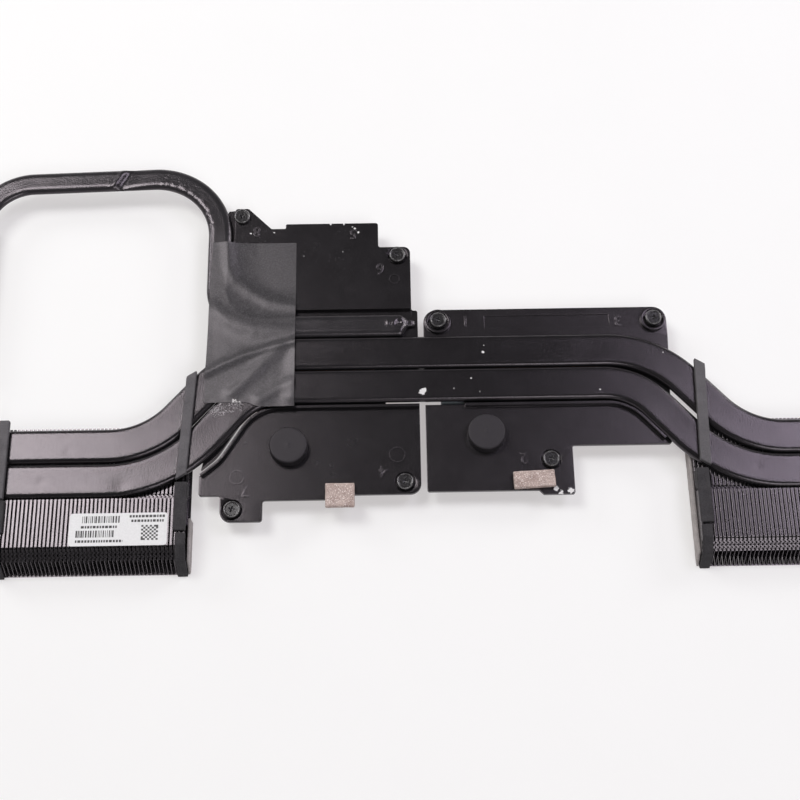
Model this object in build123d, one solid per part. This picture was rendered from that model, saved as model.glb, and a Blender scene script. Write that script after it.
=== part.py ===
from build123d import *
import os
from math import radians, sin, sqrt, tan

# A laptop heat-pipe cooling module, seen with its pipes up. Millimetres.
# Origin: middle of the processor contact face. +X runs along the pipes, +Y to the back, +Z up from the board.

# Heat pipes, flattened from round tube
pipe_width = 11.0
pipe_thickness = 2.8
pipe_gap = 0.2
loop_width = 7.6
loop_gap = 0.4

# Route of the two main pipes: a straight middle run, then a slope forward at each side to the fins
slope_angle = 48.0
forward_offset = 30.0
left_slope_x = -23.3
right_slope_x = 101.9
inner_bend_radius = 27.0
outer_bend_radius = 34.0
slope_spread = 0.8
pipe_end_inset = 1.2

# Route of the loop pipe round the fan space
loop_tip_x = 25.6
loop_tip_length = 4.6
loop_tip_width = 2.2
loop_tip_shift = 0.8
loop_tip_thickness = 1.6
loop_leg_x = -33.1
loop_back_y = 71.0
loop_back_lean = 2.4
loop_side_x = -113.1
loop_end_y = 7.0
loop_plate_radius = 14.0
loop_back_radius = 22.0
loop_side_radius = 18.0

# Base plates and their contact blocks
plate_thickness = 1.4
contact_rim = 0.8
window_clearance = 0.2
contact_window = (34.0, 20.0)
cpu_contact_size = (40.0, 30.0)
gpu_contact_size = (37.0, 30.0)
gpu_contact_x = 71.5

# Captive screws: where each one stands on its plate
cpu_back_left_screw = (-26.0, 55.3)
cpu_back_right_screw = (25.0, 40.3)
cpu_front_right_screw = (26.2, -36.9)
cpu_front_left_screw = (-26.8, -45.0)
gpu_bar_left_screw = (37.7, 16.8)
gpu_bar_right_screw = (106.8, 16.6)
gpu_front_screw = (71.5, -30.3)
screw_head_radius = 2.6
screw_head_height = 1.3
screw_shoulder_radius = 1.5
screw_hole_clearance = 0.2
screw_thread_radius = 1.0
screw_thread_length = 3.6
screw_recess_width = 0.7
screw_recess_length = 2.6
screw_recess_depth = 0.7
clip_thickness = 0.5
clip_radius = 2.4
clip_clearance = 0.05
lug_margin = 3.8
boss_radius = 4.1
boss_height = 1.2
boss_margin = 0.4

# Corner radii of both plates
nick_radius = 0.4
corner_radius = 0.8
soft_radius = 1.0
shoulder_radius = 2.2
waist_radius = 3.0
lug_radius = 3.4

# Outline of the processor plate
cpu_left = -31.0
cpu_right = 31.2
cpu_back = 52.6
cpu_step_depth = 1.7
cpu_step_x = -11.6
cpu_chamfer_x = -16.3
cpu_back_corner_x = 18.8
cpu_tongue_margin = 2.1
cpu_back_lug_margin = 3.3
cpu_shoulder_margin = 4.2
cpu_front = -42.1
cpu_front_jog_x = 10.0
cpu_front_jog = 1.1
cpu_lobe_right = -17.6
cpu_ear_left = -37.2
cpu_ear_front = -40.4
cpu_ear_back = -34.2
cpu_waist_x = -34.0
cpu_waist_y = -20.0
cpu_neck_y = 6.0
cpu_panel_rise = 1.6
cpu_panel_gap = 0.9

# Outline of the graphics plate
gpu_left = 33.0
gpu_front = -40.1
gpu_tab_left = 67.4
gpu_tab_right = 78.4
gpu_tab_depth = 1.4
gpu_wing_front = -25.7
gpu_wing_right = 109.5
gpu_panel_left = 52.6
gpu_panel_right = 92.8
gpu_panel_width = 4.2
gpu_panel_depth = 0.35

# Raised lips that follow the front of the lower pipe
lip_width = 1.0
lip_height = 1.6
lip_gap = 0.5
cpu_lip_bend_x = -19.8
cpu_lip_turn = (-30.7, -29.3)
cpu_lip_end = (-36.6, -34.2)
cpu_lip_radius = 14.0
gpu_lip_left = 45.4
gpu_lip_end_y = -24.2

# Open slots between the lower pipe and both plates, next to the gap between the plates
slot_reach = 0.9
cpu_slot_left = 20.6
cpu_bend_slot_width = 1.2
cpu_bend_slot_start = -12.0

# Zipper fins: folded sheet fins with a lowered seat for the pipes
fin_pitch = 1.23
fin_sheet = 0.2
fin_joint_gap = 0.08
fin_drop = 6.4
fin_rise = 2.5
fin_back_margin = 1.0
fin_seat_clearance = 0.5
fin_flat = 14.8
fin_slope_run = 4.0
fin_slope_drop = 2.2
fin_front_rake = 3.0
rear_fin_count = 48
left_stack_lead = 10.1
right_stack_lead = 13.6
side_fin_count = 36
side_fins_y = 54.5
side_fin_flat = 6.0

# Foam gaskets on the rear fin stacks
bar_width = 3.2
bar_height = 1.8
bar_skew = 2.0
left_bar_back = -1.5
left_bar_front = -35.3
right_bar_back = 0.2
right_bar_front = -33.4
outer_bar_overhang = 1.6
outer_bar_inset = 0.2
left_bar_inset = 0.4
left_bar_slant = 2.1
right_bar_inset = 1.4
right_bar_slant = -1.2
block_width = 3.9
block_height = 1.3
block_gap = 0.4
block_length = 10.2
block_clearance = 0.8
front_strip_width = 3.2
front_strip_thickness = 0.8
side_foam_thickness = 0.9
side_foam_drop = 1.2
left_side_foam_back = -47.0
right_side_foam_back = -24.0

# Rubber bumpers, conductive foam, tape and label
bumper_radius = 5.9
bumper_height = 3.6
bumper_edge = 0.5
cpu_bumper_spot = (-9.7, -25.4)
gpu_bumper_spot = (51.7, -22.0)
ground_foam_height = 1.8
cpu_ground_foam_size = (9.0, 7.5)
cpu_ground_foam_spot = (6.2, -41.2)
gpu_ground_foam_size = (12.8, 5.4)
gpu_ground_foam_spot = (65.9, -37.0)
gpu_ground_foam_turn = 2.5
tape_thickness = 0.2
tape_left = -36.4
tape_right = -8.0
tape_front = -12.4
tape_back = 45.5
label_size = (29.6, 10.2)
label_thickness = 0.12
label_left_margin = 23.8
label_back_margin = 4.6

# Thermal pads under the plates
pad_height = 1.5
cpu_power_pad_size = (28.0, 9.0)
cpu_power_pad_spot = (6.0, 29.0)
memory_pad_size = (12.0, 13.0)
memory_pad_spots = ((44.0, 7.2), (44.0, -7.2), (50.0, -27.0))
gpu_power_pad_size = (10.0, 14.0)
gpu_power_pad_spot = (99.0, -6.0)

# Levels above the contact face
plate_bottom = contact_rim
plate_top = plate_bottom + plate_thickness
pipe_top = plate_top + pipe_thickness
fin_bottom = plate_top - fin_drop
fin_top = plate_top + fin_rise

# Places that follow from the sizes above
pipe_pitch = pipe_width + pipe_gap
pair_half = pipe_width + pipe_gap / 2
slope_run = forward_offset / tan(radians(slope_angle))
loop_run_y = pair_half + loop_gap + loop_width / 2
rear_inlet_y = pair_half + fin_back_margin - forward_offset
rear_seat = fin_back_margin + 2 * pair_half + fin_seat_clearance
rear_step_y = rear_inlet_y - rear_seat
rear_length = rear_fin_count * fin_pitch - fin_joint_gap
left_inner_x = left_slope_x - slope_run + left_stack_lead
left_fins_x = left_inner_x - rear_length
right_fins_x = right_slope_x + slope_run - right_stack_lead
right_outer_x = right_fins_x + rear_length
rear_slope_y = rear_step_y - fin_flat
rear_edge_y = rear_slope_y - fin_slope_run
rear_front_y = rear_edge_y - fin_front_rake
side_inlet_x = loop_side_x + loop_width / 2 + fin_seat_clearance
side_seat = loop_width + 2 * fin_seat_clearance
cpu_panel_spots = (cpu_back_left_screw, cpu_back_right_screw)
cpu_front_spots = (cpu_front_right_screw, cpu_front_left_screw)
cpu_screw_spots = cpu_panel_spots + cpu_front_spots
gpu_boss_spots = (gpu_bar_left_screw, gpu_bar_right_screw)
gpu_screw_spots = gpu_boss_spots + (gpu_front_screw,)

parts = {}


def box_on(size, spot, bottom, height):
    """A plain block with its middle over a spot and its foot at a level."""
    return Pos(spot[0], spot[1], bottom) * extrude(Rectangle(size[0], size[1]), height)


def slab(corners, radii, bottom, height):
    """A flat plate from an outline whose corners have their own radii."""
    outline = FilletPolyline(*corners, radius=radii, close=True)
    return Pos(0, 0, bottom) * extrude(make_face(outline), height)


# The main pipes and the lips run side by side: each is an offset from the line between the two pipes
def slope_corner(side, slope_x, offset, spread):
    """Both corners of one slope, for a run that lies to the back (+) or front (-) of the middle line."""
    shift = offset * tan(radians(slope_angle / 2)) + spread / sin(radians(slope_angle))
    near = (slope_x + side * shift, offset)
    far = (slope_x + side * (slope_run + shift), offset - forward_offset)
    return near, far


def main_pipe(offset, spread):
    """One main pipe: fins at the left, slope, middle run, slope, fins at the right."""
    left_near, left_far = slope_corner(-1, left_slope_x, offset, 0)
    right_near, right_far = slope_corner(1, right_slope_x, offset, spread)
    start = (left_fins_x + pipe_end_inset, left_far[1])
    end = (right_outer_x - pipe_end_inset, right_far[1])
    radii = [outer_bend_radius - offset, inner_bend_radius + offset]
    path = FilletPolyline(start, left_far, left_near, right_near, right_far, end, radius=radii + radii[::-1])
    section = Plane(path @ 0, x_dir=(0, 1, 0), z_dir=path % 0) * SlotOverall(pipe_width, pipe_thickness)
    return Pos(0, 0, plate_top + pipe_thickness / 2) * sweep(section, path)


def pipe_front(side, slope_x, x):
    """Front edge of the lower pipe at a place on its outer bend."""
    _, far = slope_corner(side, slope_x, -pair_half, -slope_spread / 2)
    radius = outer_bend_radius + pair_half
    bend_x = far[0] + side * radius * tan(radians(slope_angle / 2))
    into_bend = max(0, side * (bend_x - x))
    return far[1] + radius - sqrt(radius**2 - into_bend**2)


parts["upper_heat_pipe"] = main_pipe(pipe_pitch / 2, slope_spread / 2)
parts["lower_heat_pipe"] = main_pipe(-pipe_pitch / 2, -slope_spread / 2)


# The loop pipe: from its sealed tip over the processor plate, round the fan space, down over the side fins
def loop_pipe():
    corners = [
        (loop_tip_x, loop_run_y),
        (loop_leg_x, loop_run_y),
        (loop_leg_x, loop_back_y),
        (loop_side_x, loop_back_y - loop_back_lean),
        (loop_side_x, loop_end_y),
    ]
    path = FilletPolyline(*corners, radius=[loop_plate_radius, loop_back_radius, loop_side_radius])
    section = Plane(path @ 0, x_dir=(0, 1, 0), z_dir=path % 0) * SlotOverall(loop_width, pipe_thickness)
    tube = sweep(section, path)
    root = Plane((loop_tip_x, loop_run_y, 0), x_dir=(0, 1, 0), z_dir=(1, 0, 0))
    pinch_lift = (loop_tip_thickness - pipe_thickness) / 2
    pinch_section = SlotOverall(loop_tip_width, loop_tip_thickness)
    pinch = root.offset(loop_tip_length) * Pos(loop_tip_shift, pinch_lift) * pinch_section
    tip = loft([root * SlotOverall(loop_width, pipe_thickness), pinch])
    return Pos(0, 0, plate_top + pipe_thickness / 2) * (tube + tip)


parts["loop_heat_pipe"] = loop_pipe()


# Base plates: an outline with screw lugs, a window for the contact block, screw holes and a raised lip;
# the processor plate stands higher behind the loop pipe, round the pipe's bend
def wall(corners, radius, width, bottom, height):
    """A wall along a line of points with rounded corners."""
    path = FilletPolyline(*corners, radius=radius)
    section = Plane(path @ 0, x_dir=(0, 0, 1), z_dir=path % 0) * Rectangle(height, width)
    return Pos(0, 0, bottom + height / 2) * sweep(section, path)


def beside(line, distance):
    """The same line of points, moved to the right of its run."""
    steps = [complex(*b) - complex(*a) for a, b in zip(line, line[1:])]
    sides = [-1j * step / abs(step) for step in steps]
    moved = []
    for point, before, after in zip(line, sides[:1] + sides, sides + sides[-1:]):
        corner = (before + after) / (1 + (before * after.conjugate()).real)
        moved.append((point[0] + distance * corner.real, point[1] + distance * corner.imag))
    return moved


def lip_line(side, slope_x, offset, start_x, end_y):
    """Points of a lip that leaves the middle run and follows the slope down to a level."""
    near, far = slope_corner(side, slope_x, offset, 0)
    end_x = near[0] + side * (near[1] - end_y) / tan(radians(slope_angle))
    return (start_x, near[1]), near, (end_x, end_y)


def pierce(plate, window_x, screw_spots):
    """Cuts the contact window and the screw holes."""
    plate -= box_on(contact_window, (window_x, 0), plate_bottom, plate_thickness)
    depth = plate_thickness + max(boss_height, cpu_panel_rise)
    for x, y in screw_spots:
        hole = Cylinder(screw_shoulder_radius + screw_hole_clearance, depth)
        plate -= Pos(x, y, plate_bottom + depth / 2) * hole
    return plate


lip_offset = -(pair_half + lip_gap + lip_width / 2)


def pipe_slot(left, right):
    """A slot through a plate along the front of the lower pipe."""
    size = (right - left, lip_gap + slot_reach)
    spot = ((left + right) / 2, slot_reach / 2 - pair_half - lip_gap / 2)
    return box_on(size, spot, plate_bottom, plate_thickness)


def cpu_plate():
    tongue_back = loop_run_y + loop_width / 2 + cpu_tongue_margin
    step_y = cpu_back - cpu_step_depth
    back_left_y = cpu_back_left_screw[1] + cpu_back_lug_margin
    chamfer_start = cpu_chamfer_x - (back_left_y - step_y)
    shoulder_y = cpu_back_right_screw[1] + cpu_back_lug_margin
    shoulder_x = cpu_back_right_screw[0] + cpu_shoulder_margin
    front_right_y = cpu_front_right_screw[1] - lug_margin
    lobe_left = cpu_front_left_screw[0] - lug_margin
    lobe_front = cpu_front_left_screw[1] - lug_margin
    outline = [
        ((cpu_left, back_left_y), soft_radius),
        ((chamfer_start, back_left_y), soft_radius),
        ((cpu_chamfer_x, step_y), soft_radius),
        ((cpu_step_x, step_y), nick_radius),
        ((cpu_step_x, cpu_back), nick_radius),
        ((cpu_back_corner_x, cpu_back), corner_radius),
        ((cpu_back_corner_x, shoulder_y), corner_radius),
        ((shoulder_x, shoulder_y), shoulder_radius),
        ((shoulder_x, tongue_back), corner_radius),
        ((cpu_right, tongue_back), corner_radius),
        ((cpu_right, front_right_y), lug_radius),
        ((cpu_front_jog_x, front_right_y), nick_radius),
        ((cpu_front_jog_x, cpu_front), nick_radius),
        ((cpu_lobe_right, cpu_front), corner_radius),
        ((cpu_lobe_right, lobe_front), soft_radius),
        ((lobe_left, lobe_front), lug_radius),
        ((lobe_left, cpu_ear_front), corner_radius),
        ((cpu_ear_left, cpu_ear_front), corner_radius),
        ((cpu_ear_left, cpu_ear_back), corner_radius),
        ((cpu_waist_x, cpu_waist_y), waist_radius),
        ((cpu_left, cpu_neck_y), waist_radius),
    ]
    points = [point for point, _ in outline]
    radii = [radius for _, radius in outline]
    plate = slab(points, radii, plate_bottom, plate_thickness)
    panel_left = loop_leg_x + loop_width / 2 + cpu_panel_gap
    panel_corner = loop_plate_radius - loop_width / 2 - cpu_panel_gap
    panel = [((panel_left, back_left_y), soft_radius)] + outline[1:8]
    panel += [((shoulder_x, tongue_back), nick_radius), ((panel_left, tongue_back), panel_corner)]
    plate += slab([point for point, _ in panel], [radius for _, radius in panel], plate_top, cpu_panel_rise)
    bend = (cpu_lip_bend_x, lip_offset)
    line = [(cpu_right, lip_offset), bend, cpu_lip_turn, cpu_lip_end]
    plate += wall(line, cpu_lip_radius, lip_width, plate_top, lip_height)
    past_edge = tuple(1.5 * end - 0.5 * turn for end, turn in zip(cpu_lip_end, cpu_lip_turn))
    line = [(cpu_bend_slot_start, lip_offset), bend, cpu_lip_turn, past_edge]
    slot_line = beside(line, (lip_width + cpu_bend_slot_width) / 2)
    plate -= wall(slot_line, cpu_lip_radius, cpu_bend_slot_width, plate_bottom, plate_thickness)
    plate -= pipe_slot(cpu_slot_left, cpu_right)
    return pierce(plate, 0, cpu_screw_spots)


def gpu_plate():
    bar_corner = boss_radius + boss_margin
    bar_back = gpu_bar_left_screw[1] + bar_corner
    bar_right = gpu_bar_right_screw[0] + bar_corner
    tab_front = gpu_front - gpu_tab_depth
    outline = [
        ((gpu_left, gpu_front), corner_radius),
        ((gpu_tab_left, gpu_front), nick_radius),
        ((gpu_tab_left + gpu_tab_depth, tab_front), nick_radius),
        ((gpu_tab_right, tab_front), corner_radius),
        ((gpu_tab_right, gpu_wing_front), corner_radius),
        ((gpu_wing_right, gpu_wing_front), soft_radius),
        ((bar_right, pair_half), shoulder_radius),
        ((bar_right, bar_back), bar_corner),
        ((gpu_left, bar_back), bar_corner),
    ]
    points = [point for point, _ in outline]
    radii = [radius for _, radius in outline]
    plate = slab(points, radii, plate_bottom, plate_thickness)
    line = lip_line(1, right_slope_x, lip_offset, gpu_lip_left, gpu_lip_end_y)
    plate += wall(line, inner_bend_radius + lip_offset, lip_width, plate_top, lip_height)
    for x, y in gpu_boss_spots:
        plate += Pos(x, y, plate_top + boss_height / 2) * Cylinder(boss_radius, boss_height)
    panel_size = (gpu_panel_right - gpu_panel_left, gpu_panel_width)
    panel_spot = ((gpu_panel_left + gpu_panel_right) / 2, gpu_bar_left_screw[1])
    plate -= box_on(panel_size, panel_spot, plate_top - gpu_panel_depth, gpu_panel_depth)
    plate -= pipe_slot(gpu_left, gpu_lip_left)
    return pierce(plate, gpu_contact_x, gpu_screw_spots)


parts["cpu_base_plate"] = cpu_plate()
parts["gpu_base_plate"] = gpu_plate()


# Copper contact blocks: a rim under the plate and a land that fills the window up to the pipes
def contact_block(size, x):
    land_size = [side - 2 * window_clearance for side in contact_window]
    rim = box_on(size, (x, 0), 0, contact_rim)
    return rim + box_on(land_size, (x, 0), contact_rim, plate_thickness)


parts["cpu_cold_plate"] = contact_block(cpu_contact_size, 0)
parts["gpu_cold_plate"] = contact_block(gpu_contact_size, gpu_contact_x)


# Captive screws with a cross recess, and the snap rings that keep them in the plates
def screw(x, y, seat):
    head = Pos(0, 0, seat + screw_head_height / 2) * Cylinder(screw_head_radius, screw_head_height)
    shoulder_length = seat - plate_bottom + clip_thickness
    shoulder = Pos(0, 0, seat - shoulder_length / 2) * Cylinder(screw_shoulder_radius, shoulder_length)
    thread_top = plate_bottom - clip_thickness
    thread = Pos(0, 0, thread_top - screw_thread_length / 2) * Cylinder(screw_thread_radius, screw_thread_length)
    slot = extrude(Rectangle(screw_recess_length, screw_recess_width), screw_recess_depth)
    cross = Pos(0, 0, seat + screw_head_height - screw_recess_depth) * (slot + Rot(0, 0, 90) * slot)
    return Pos(x, y, 0) * (head + shoulder + thread - cross)


def clip(x, y):
    ring = Circle(clip_radius) - Circle(screw_shoulder_radius + clip_clearance)
    return Pos(x, y, plate_bottom - clip_thickness) * extrude(ring, clip_thickness)


panel_screws = [screw(x, y, plate_top + cpu_panel_rise) for x, y in cpu_panel_spots]
parts["cpu_screws"] = Compound(panel_screws + [screw(x, y, plate_top) for x, y in cpu_front_spots])
bar_screws = [screw(x, y, plate_top + boss_height) for x, y in gpu_boss_spots]
parts["gpu_screws"] = Compound(bar_screws + [screw(*gpu_front_screw, plate_top)])
parts["screw_clips"] = Compound([clip(x, y) for x, y in cpu_screw_spots + gpu_screw_spots])


# One folded fin: a sheet with its top and bottom edges bent over, the top lowered where the pipes lie
def fin_outlines(seat, flat):
    """Outline of the fin from its air inlet, and the pocket that leaves the sheet and its folds."""
    slope = seat + flat
    edge = slope + fin_slope_run
    front = edge + fin_front_rake
    edge_top = fin_top - fin_slope_drop
    outer = [
        (0, fin_bottom),
        (0, plate_top),
        (seat, plate_top),
        (seat, fin_top),
        (slope, fin_top),
        (edge, edge_top),
        (front, fin_bottom),
    ]
    pocket = [
        (-fin_pitch, fin_bottom + fin_sheet),
        (-fin_pitch, plate_top - fin_sheet),
        (seat + fin_sheet, plate_top - fin_sheet),
        (seat + fin_sheet, fin_top - fin_sheet),
        (slope, fin_top - fin_sheet),
        (edge, edge_top - fin_sheet),
        (front + fin_pitch, edge_top - fin_sheet),
        (front + fin_pitch, fin_bottom + fin_sheet),
    ]
    return outer, pocket


def fin(plane, outlines, inlet):
    """The fin drawn on a plane, with its inlet edge at a place and its depth running away from it."""
    outer, pocket = [[(inlet - along, level) for along, level in points] for points in outlines]
    width = fin_pitch - fin_joint_gap
    block = extrude(plane * make_face(Polyline(*outer, close=True)), width)
    inside = plane.offset(fin_sheet) * make_face(Polyline(*pocket, close=True))
    return block - extrude(inside, width)


rear_fin = fin(Plane.YZ, fin_outlines(rear_seat, fin_flat), rear_inlet_y)
side_fin = fin(Plane.XZ, fin_outlines(side_seat, side_fin_flat), side_inlet_x)
rear_steps = [step * fin_pitch for step in range(rear_fin_count)]
side_steps = [step * fin_pitch for step in range(side_fin_count)]
parts["left_fins"] = Compound([Pos(left_fins_x + step, 0, 0) * rear_fin for step in rear_steps])
parts["right_fins"] = Compound([Pos(right_fins_x + step, 0, 0) * rear_fin for step in rear_steps])
parts["side_fins"] = Compound([Pos(0, side_fins_y - step, 0) * side_fin for step in side_steps])


# Foam gaskets at the ends of the rear stacks: a bar over the pipes, a block on the fins, a front strip
def foam_bar(end_x, inward, inset, slant, skew, back_y, front_y):
    """A bar across the pipes; a positive slant leans its back end out, and skew cuts its ends aslant."""
    outer_x = end_x + inward * inset
    inner_x = outer_x + inward * bar_width
    back_shift = -inward * slant
    half = skew / 2
    back = [(outer_x + back_shift, back_y + half), (inner_x + back_shift, back_y - half)]
    front = [(inner_x, front_y - half), (outer_x, front_y + half)]
    return Pos(0, 0, pipe_top) * extrude(make_face(Polyline(*back, *front, close=True)), bar_height)


def foam_strip(profile, end_x, inward, width):
    """A gasket of one profile, seen from the end of the stack, as wide as it is stuck on."""
    face = make_face(Plane.YZ * Polyline(*profile, close=True))
    return Pos(end_x, 0, 0) * extrude(face, width, dir=(inward, 0, 0))


def foam_block(end_x, inward, back):
    """A block on the fins; where the pipe has turned away it also fills the open pipe seat behind them."""
    top = fin_top + block_height
    front = rear_step_y - block_gap - block_length
    foot = [(rear_step_y - block_gap, fin_top), (front, fin_top), (front, top)]
    tail = [(rear_step_y - block_gap, top)]
    foot_back = rear_step_y + block_gap
    if back > foot_back:
        tail = [(back, top), (back, plate_top), (foot_back, plate_top), (foot_back, fin_top)]
    return foam_strip(foot + tail, end_x, inward, block_width)


def foam_front(end_x, inward):
    """A strip over the front end of the fins, down their raked front."""
    back = rear_step_y - 2 * block_gap - block_length
    edge_top = fin_top - fin_slope_drop
    thick = front_strip_thickness
    under = [(back, fin_top), (rear_slope_y, fin_top), (rear_edge_y, edge_top), (rear_front_y, fin_bottom)]
    over = [
        (rear_front_y - thick, fin_bottom),
        (rear_edge_y - thick, edge_top + thick / 2),
        (rear_slope_y, fin_top + thick),
        (back, fin_top + thick),
    ]
    return foam_strip(under + over, end_x, inward, front_strip_width)


def side_foam(end_x, outward, back_y):
    """A thin pad on the end face of a stack, toward the middle of the laptop."""
    top = plate_top - side_foam_drop
    profile = [(back_y, fin_bottom), (back_y, top), (rear_edge_y, top), (rear_front_y, fin_bottom)]
    return foam_strip(profile, end_x, outward, side_foam_thickness)


outer_bar_back = rear_inlet_y + outer_bar_overhang
left_span = (bar_skew, left_bar_back, left_bar_front)
right_span = (bar_skew, right_bar_back, right_bar_front)
outer_span = (0, outer_bar_back, rear_step_y)
parts["left_inner_foam_bar"] = foam_bar(left_inner_x, -1, left_bar_inset, left_bar_slant, *left_span)
parts["right_inner_foam_bar"] = foam_bar(right_fins_x, 1, right_bar_inset, right_bar_slant, *right_span)
parts["left_outer_foam_bar"] = foam_bar(left_fins_x, 1, outer_bar_inset, 0, *outer_span)
parts["right_outer_foam_bar"] = foam_bar(right_outer_x, -1, outer_bar_inset, 0, *outer_span)
left_block_back = pipe_front(-1, left_slope_x, left_inner_x - block_width) - block_clearance
right_block_back = pipe_front(1, right_slope_x, right_fins_x + block_width) - block_clearance
stack_ends = {
    "left_inner": (left_inner_x, -1, left_block_back),
    "right_inner": (right_fins_x, 1, right_block_back),
    "left_outer": (left_fins_x, 1, rear_step_y),
    "right_outer": (right_outer_x, -1, rear_step_y),
}
for end_name, (end_x, inward, block_back) in stack_ends.items():
    parts[end_name + "_foam_block"] = foam_block(end_x, inward, block_back)
    parts[end_name + "_foam_front"] = foam_front(end_x, inward)
parts["left_side_foam"] = side_foam(left_inner_x, 1, left_side_foam_back)
parts["right_side_foam"] = side_foam(right_fins_x, -1, right_side_foam_back)


# Rubber bumpers, conductive foam pads, tape and label
def bumper(spot):
    disc = Cylinder(bumper_radius, bumper_height)
    disc = chamfer(disc.edges().sort_by(Axis.Z)[-1], bumper_edge)
    return Pos(spot[0], spot[1], plate_top + bumper_height / 2) * disc


parts["cpu_bumper"] = bumper(cpu_bumper_spot)
parts["gpu_bumper"] = bumper(gpu_bumper_spot)
parts["cpu_ground_foam"] = box_on(cpu_ground_foam_size, cpu_ground_foam_spot, plate_top, ground_foam_height)
gpu_foam = Rot(0, 0, gpu_ground_foam_turn) * extrude(Rectangle(*gpu_ground_foam_size), ground_foam_height)
parts["gpu_ground_foam"] = Pos(*gpu_ground_foam_spot, plate_top) * gpu_foam

tape_size = (tape_right - tape_left, tape_back - tape_front)
tape_spot = ((tape_left + tape_right) / 2, (tape_back + tape_front) / 2)
parts["pipe_tape"] = box_on(tape_size, tape_spot, pipe_top, tape_thickness)
label_x = left_fins_x + label_left_margin + label_size[0] / 2
label_y = rear_step_y - label_back_margin - label_size[1] / 2
parts["fin_label"] = box_on(label_size, (label_x, label_y), fin_top, label_thickness)

# Soft thermal pads that carry heat from the memory chips and power stages into the plates
pad_bottom = plate_bottom - pad_height
parts["cpu_power_pad"] = box_on(cpu_power_pad_size, cpu_power_pad_spot, pad_bottom, pad_height)
memory_pads = [box_on(memory_pad_size, spot, pad_bottom, pad_height) for spot in memory_pad_spots]
parts["gpu_memory_pads"] = Compound(memory_pads)
parts["gpu_power_pad"] = box_on(gpu_power_pad_size, gpu_power_pad_spot, pad_bottom, pad_height)

os.makedirs("parts", exist_ok=True)
for name, shape in parts.items():
    export_step(shape, f"parts/{name}.step")
    print(name, round(shape.volume, 1), "mm3")
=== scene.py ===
# %% [markdown]
# # A laptop heatsink, dressed for a picture
# The real object is a black-painted cooling module: three flattened heat pipes, two base plates, three
# stacks of folded fins, and foam, rubber, tape and a sticker. The construction is loaded first and stays
# where it is; every piece made here is laid over it, in the same frame and in metres.

# %% Load the construction
import bpy
import bmesh
import math
import random
import numpy as np
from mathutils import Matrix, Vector, geometry, noise


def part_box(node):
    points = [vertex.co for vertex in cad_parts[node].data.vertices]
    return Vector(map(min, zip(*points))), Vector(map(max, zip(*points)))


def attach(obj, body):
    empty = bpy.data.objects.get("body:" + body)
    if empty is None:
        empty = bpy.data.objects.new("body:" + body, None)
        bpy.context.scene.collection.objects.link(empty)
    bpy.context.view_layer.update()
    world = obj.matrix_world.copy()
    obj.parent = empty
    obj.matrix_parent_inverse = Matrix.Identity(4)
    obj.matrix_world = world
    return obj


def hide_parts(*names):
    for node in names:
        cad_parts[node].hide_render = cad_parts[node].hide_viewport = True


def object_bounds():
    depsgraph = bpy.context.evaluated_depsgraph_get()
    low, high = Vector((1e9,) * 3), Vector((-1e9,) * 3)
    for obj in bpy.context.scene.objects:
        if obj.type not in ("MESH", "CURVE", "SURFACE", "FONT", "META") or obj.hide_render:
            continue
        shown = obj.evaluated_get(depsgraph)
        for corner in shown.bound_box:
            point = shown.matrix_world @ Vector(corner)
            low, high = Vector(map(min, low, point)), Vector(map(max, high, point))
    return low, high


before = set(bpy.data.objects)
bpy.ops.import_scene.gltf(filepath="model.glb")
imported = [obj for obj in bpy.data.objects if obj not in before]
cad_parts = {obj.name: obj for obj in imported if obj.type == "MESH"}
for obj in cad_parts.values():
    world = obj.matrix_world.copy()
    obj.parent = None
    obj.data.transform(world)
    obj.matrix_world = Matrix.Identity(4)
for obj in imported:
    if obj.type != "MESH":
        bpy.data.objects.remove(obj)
cad_low, cad_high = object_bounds()
MM = 0.001
scene = bpy.context.scene
print("construction box, mm", [round(v / MM, 1) for v in (*cad_low, *cad_high)])

# %% [markdown]
# ## Levels that everything shares
# The module is a pile of flat things: plates, then pipes on the plates, then foam on the pipes. Naming
# the levels once keeps each new piece seated on what carries it. They are read from the construction
# where it has them.

# %% Levels
PLATE_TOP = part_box("lower_heat_pipe")[0].z / MM
PIPE_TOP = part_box("lower_heat_pipe")[1].z / MM
PANEL_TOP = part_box("cpu_base_plate")[1].z / MM
FIN_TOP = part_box("left_fins")[1].z / MM
FIN_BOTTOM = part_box("left_fins")[0].z / MM
PIPE_THICK = PIPE_TOP - PLATE_TOP
print("plate", PLATE_TOP, "pipe", PIPE_TOP, "panel", PANEL_TOP, "fins", FIN_BOTTOM, FIN_TOP)

# %% [markdown]
# ## Two ways to make a piece
# A piece is either a new mesh from points, or a copy of a construction node that gets what a drawing
# leaves out: rounded edges for metal, a swollen grainy skin for foam. Copies follow the construction by
# themselves.


# %% Piece helpers
def add_mesh(name, points_mm, faces):
    """A new object from points in millimetres."""
    mesh = bpy.data.meshes.new(name)
    mesh.from_pydata([tuple(float(c) * MM for c in p) for p in points_mm], [], faces)
    mesh.validate()
    piece = bpy.data.objects.new(name, mesh)
    scene.collection.objects.link(piece)
    return piece


def soften(piece, angle=35):
    """Smooth shading that keeps edges sharper than an angle."""
    piece.data.shade_smooth()
    piece.data.set_sharp_from_angle(angle=math.radians(angle))


def dress(piece, finish, slot, *nodes):
    """Gives a piece its finish, lets it ride on the module and stand for the nodes that it replaces."""
    piece.data.materials.clear()
    piece.data.materials.append(finish)
    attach(piece, "root")
    if nodes:
        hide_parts(*nodes)
    print(piece.name, len(piece.data.polygons), "faces")
    return piece


def apply_modifiers(piece):
    """Replaces a piece's mesh by what its modifiers make of it."""
    depsgraph = bpy.context.evaluated_depsgraph_get()
    made = bpy.data.meshes.new_from_object(piece.evaluated_get(depsgraph))
    piece.modifiers.clear()
    piece.data = made


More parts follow.
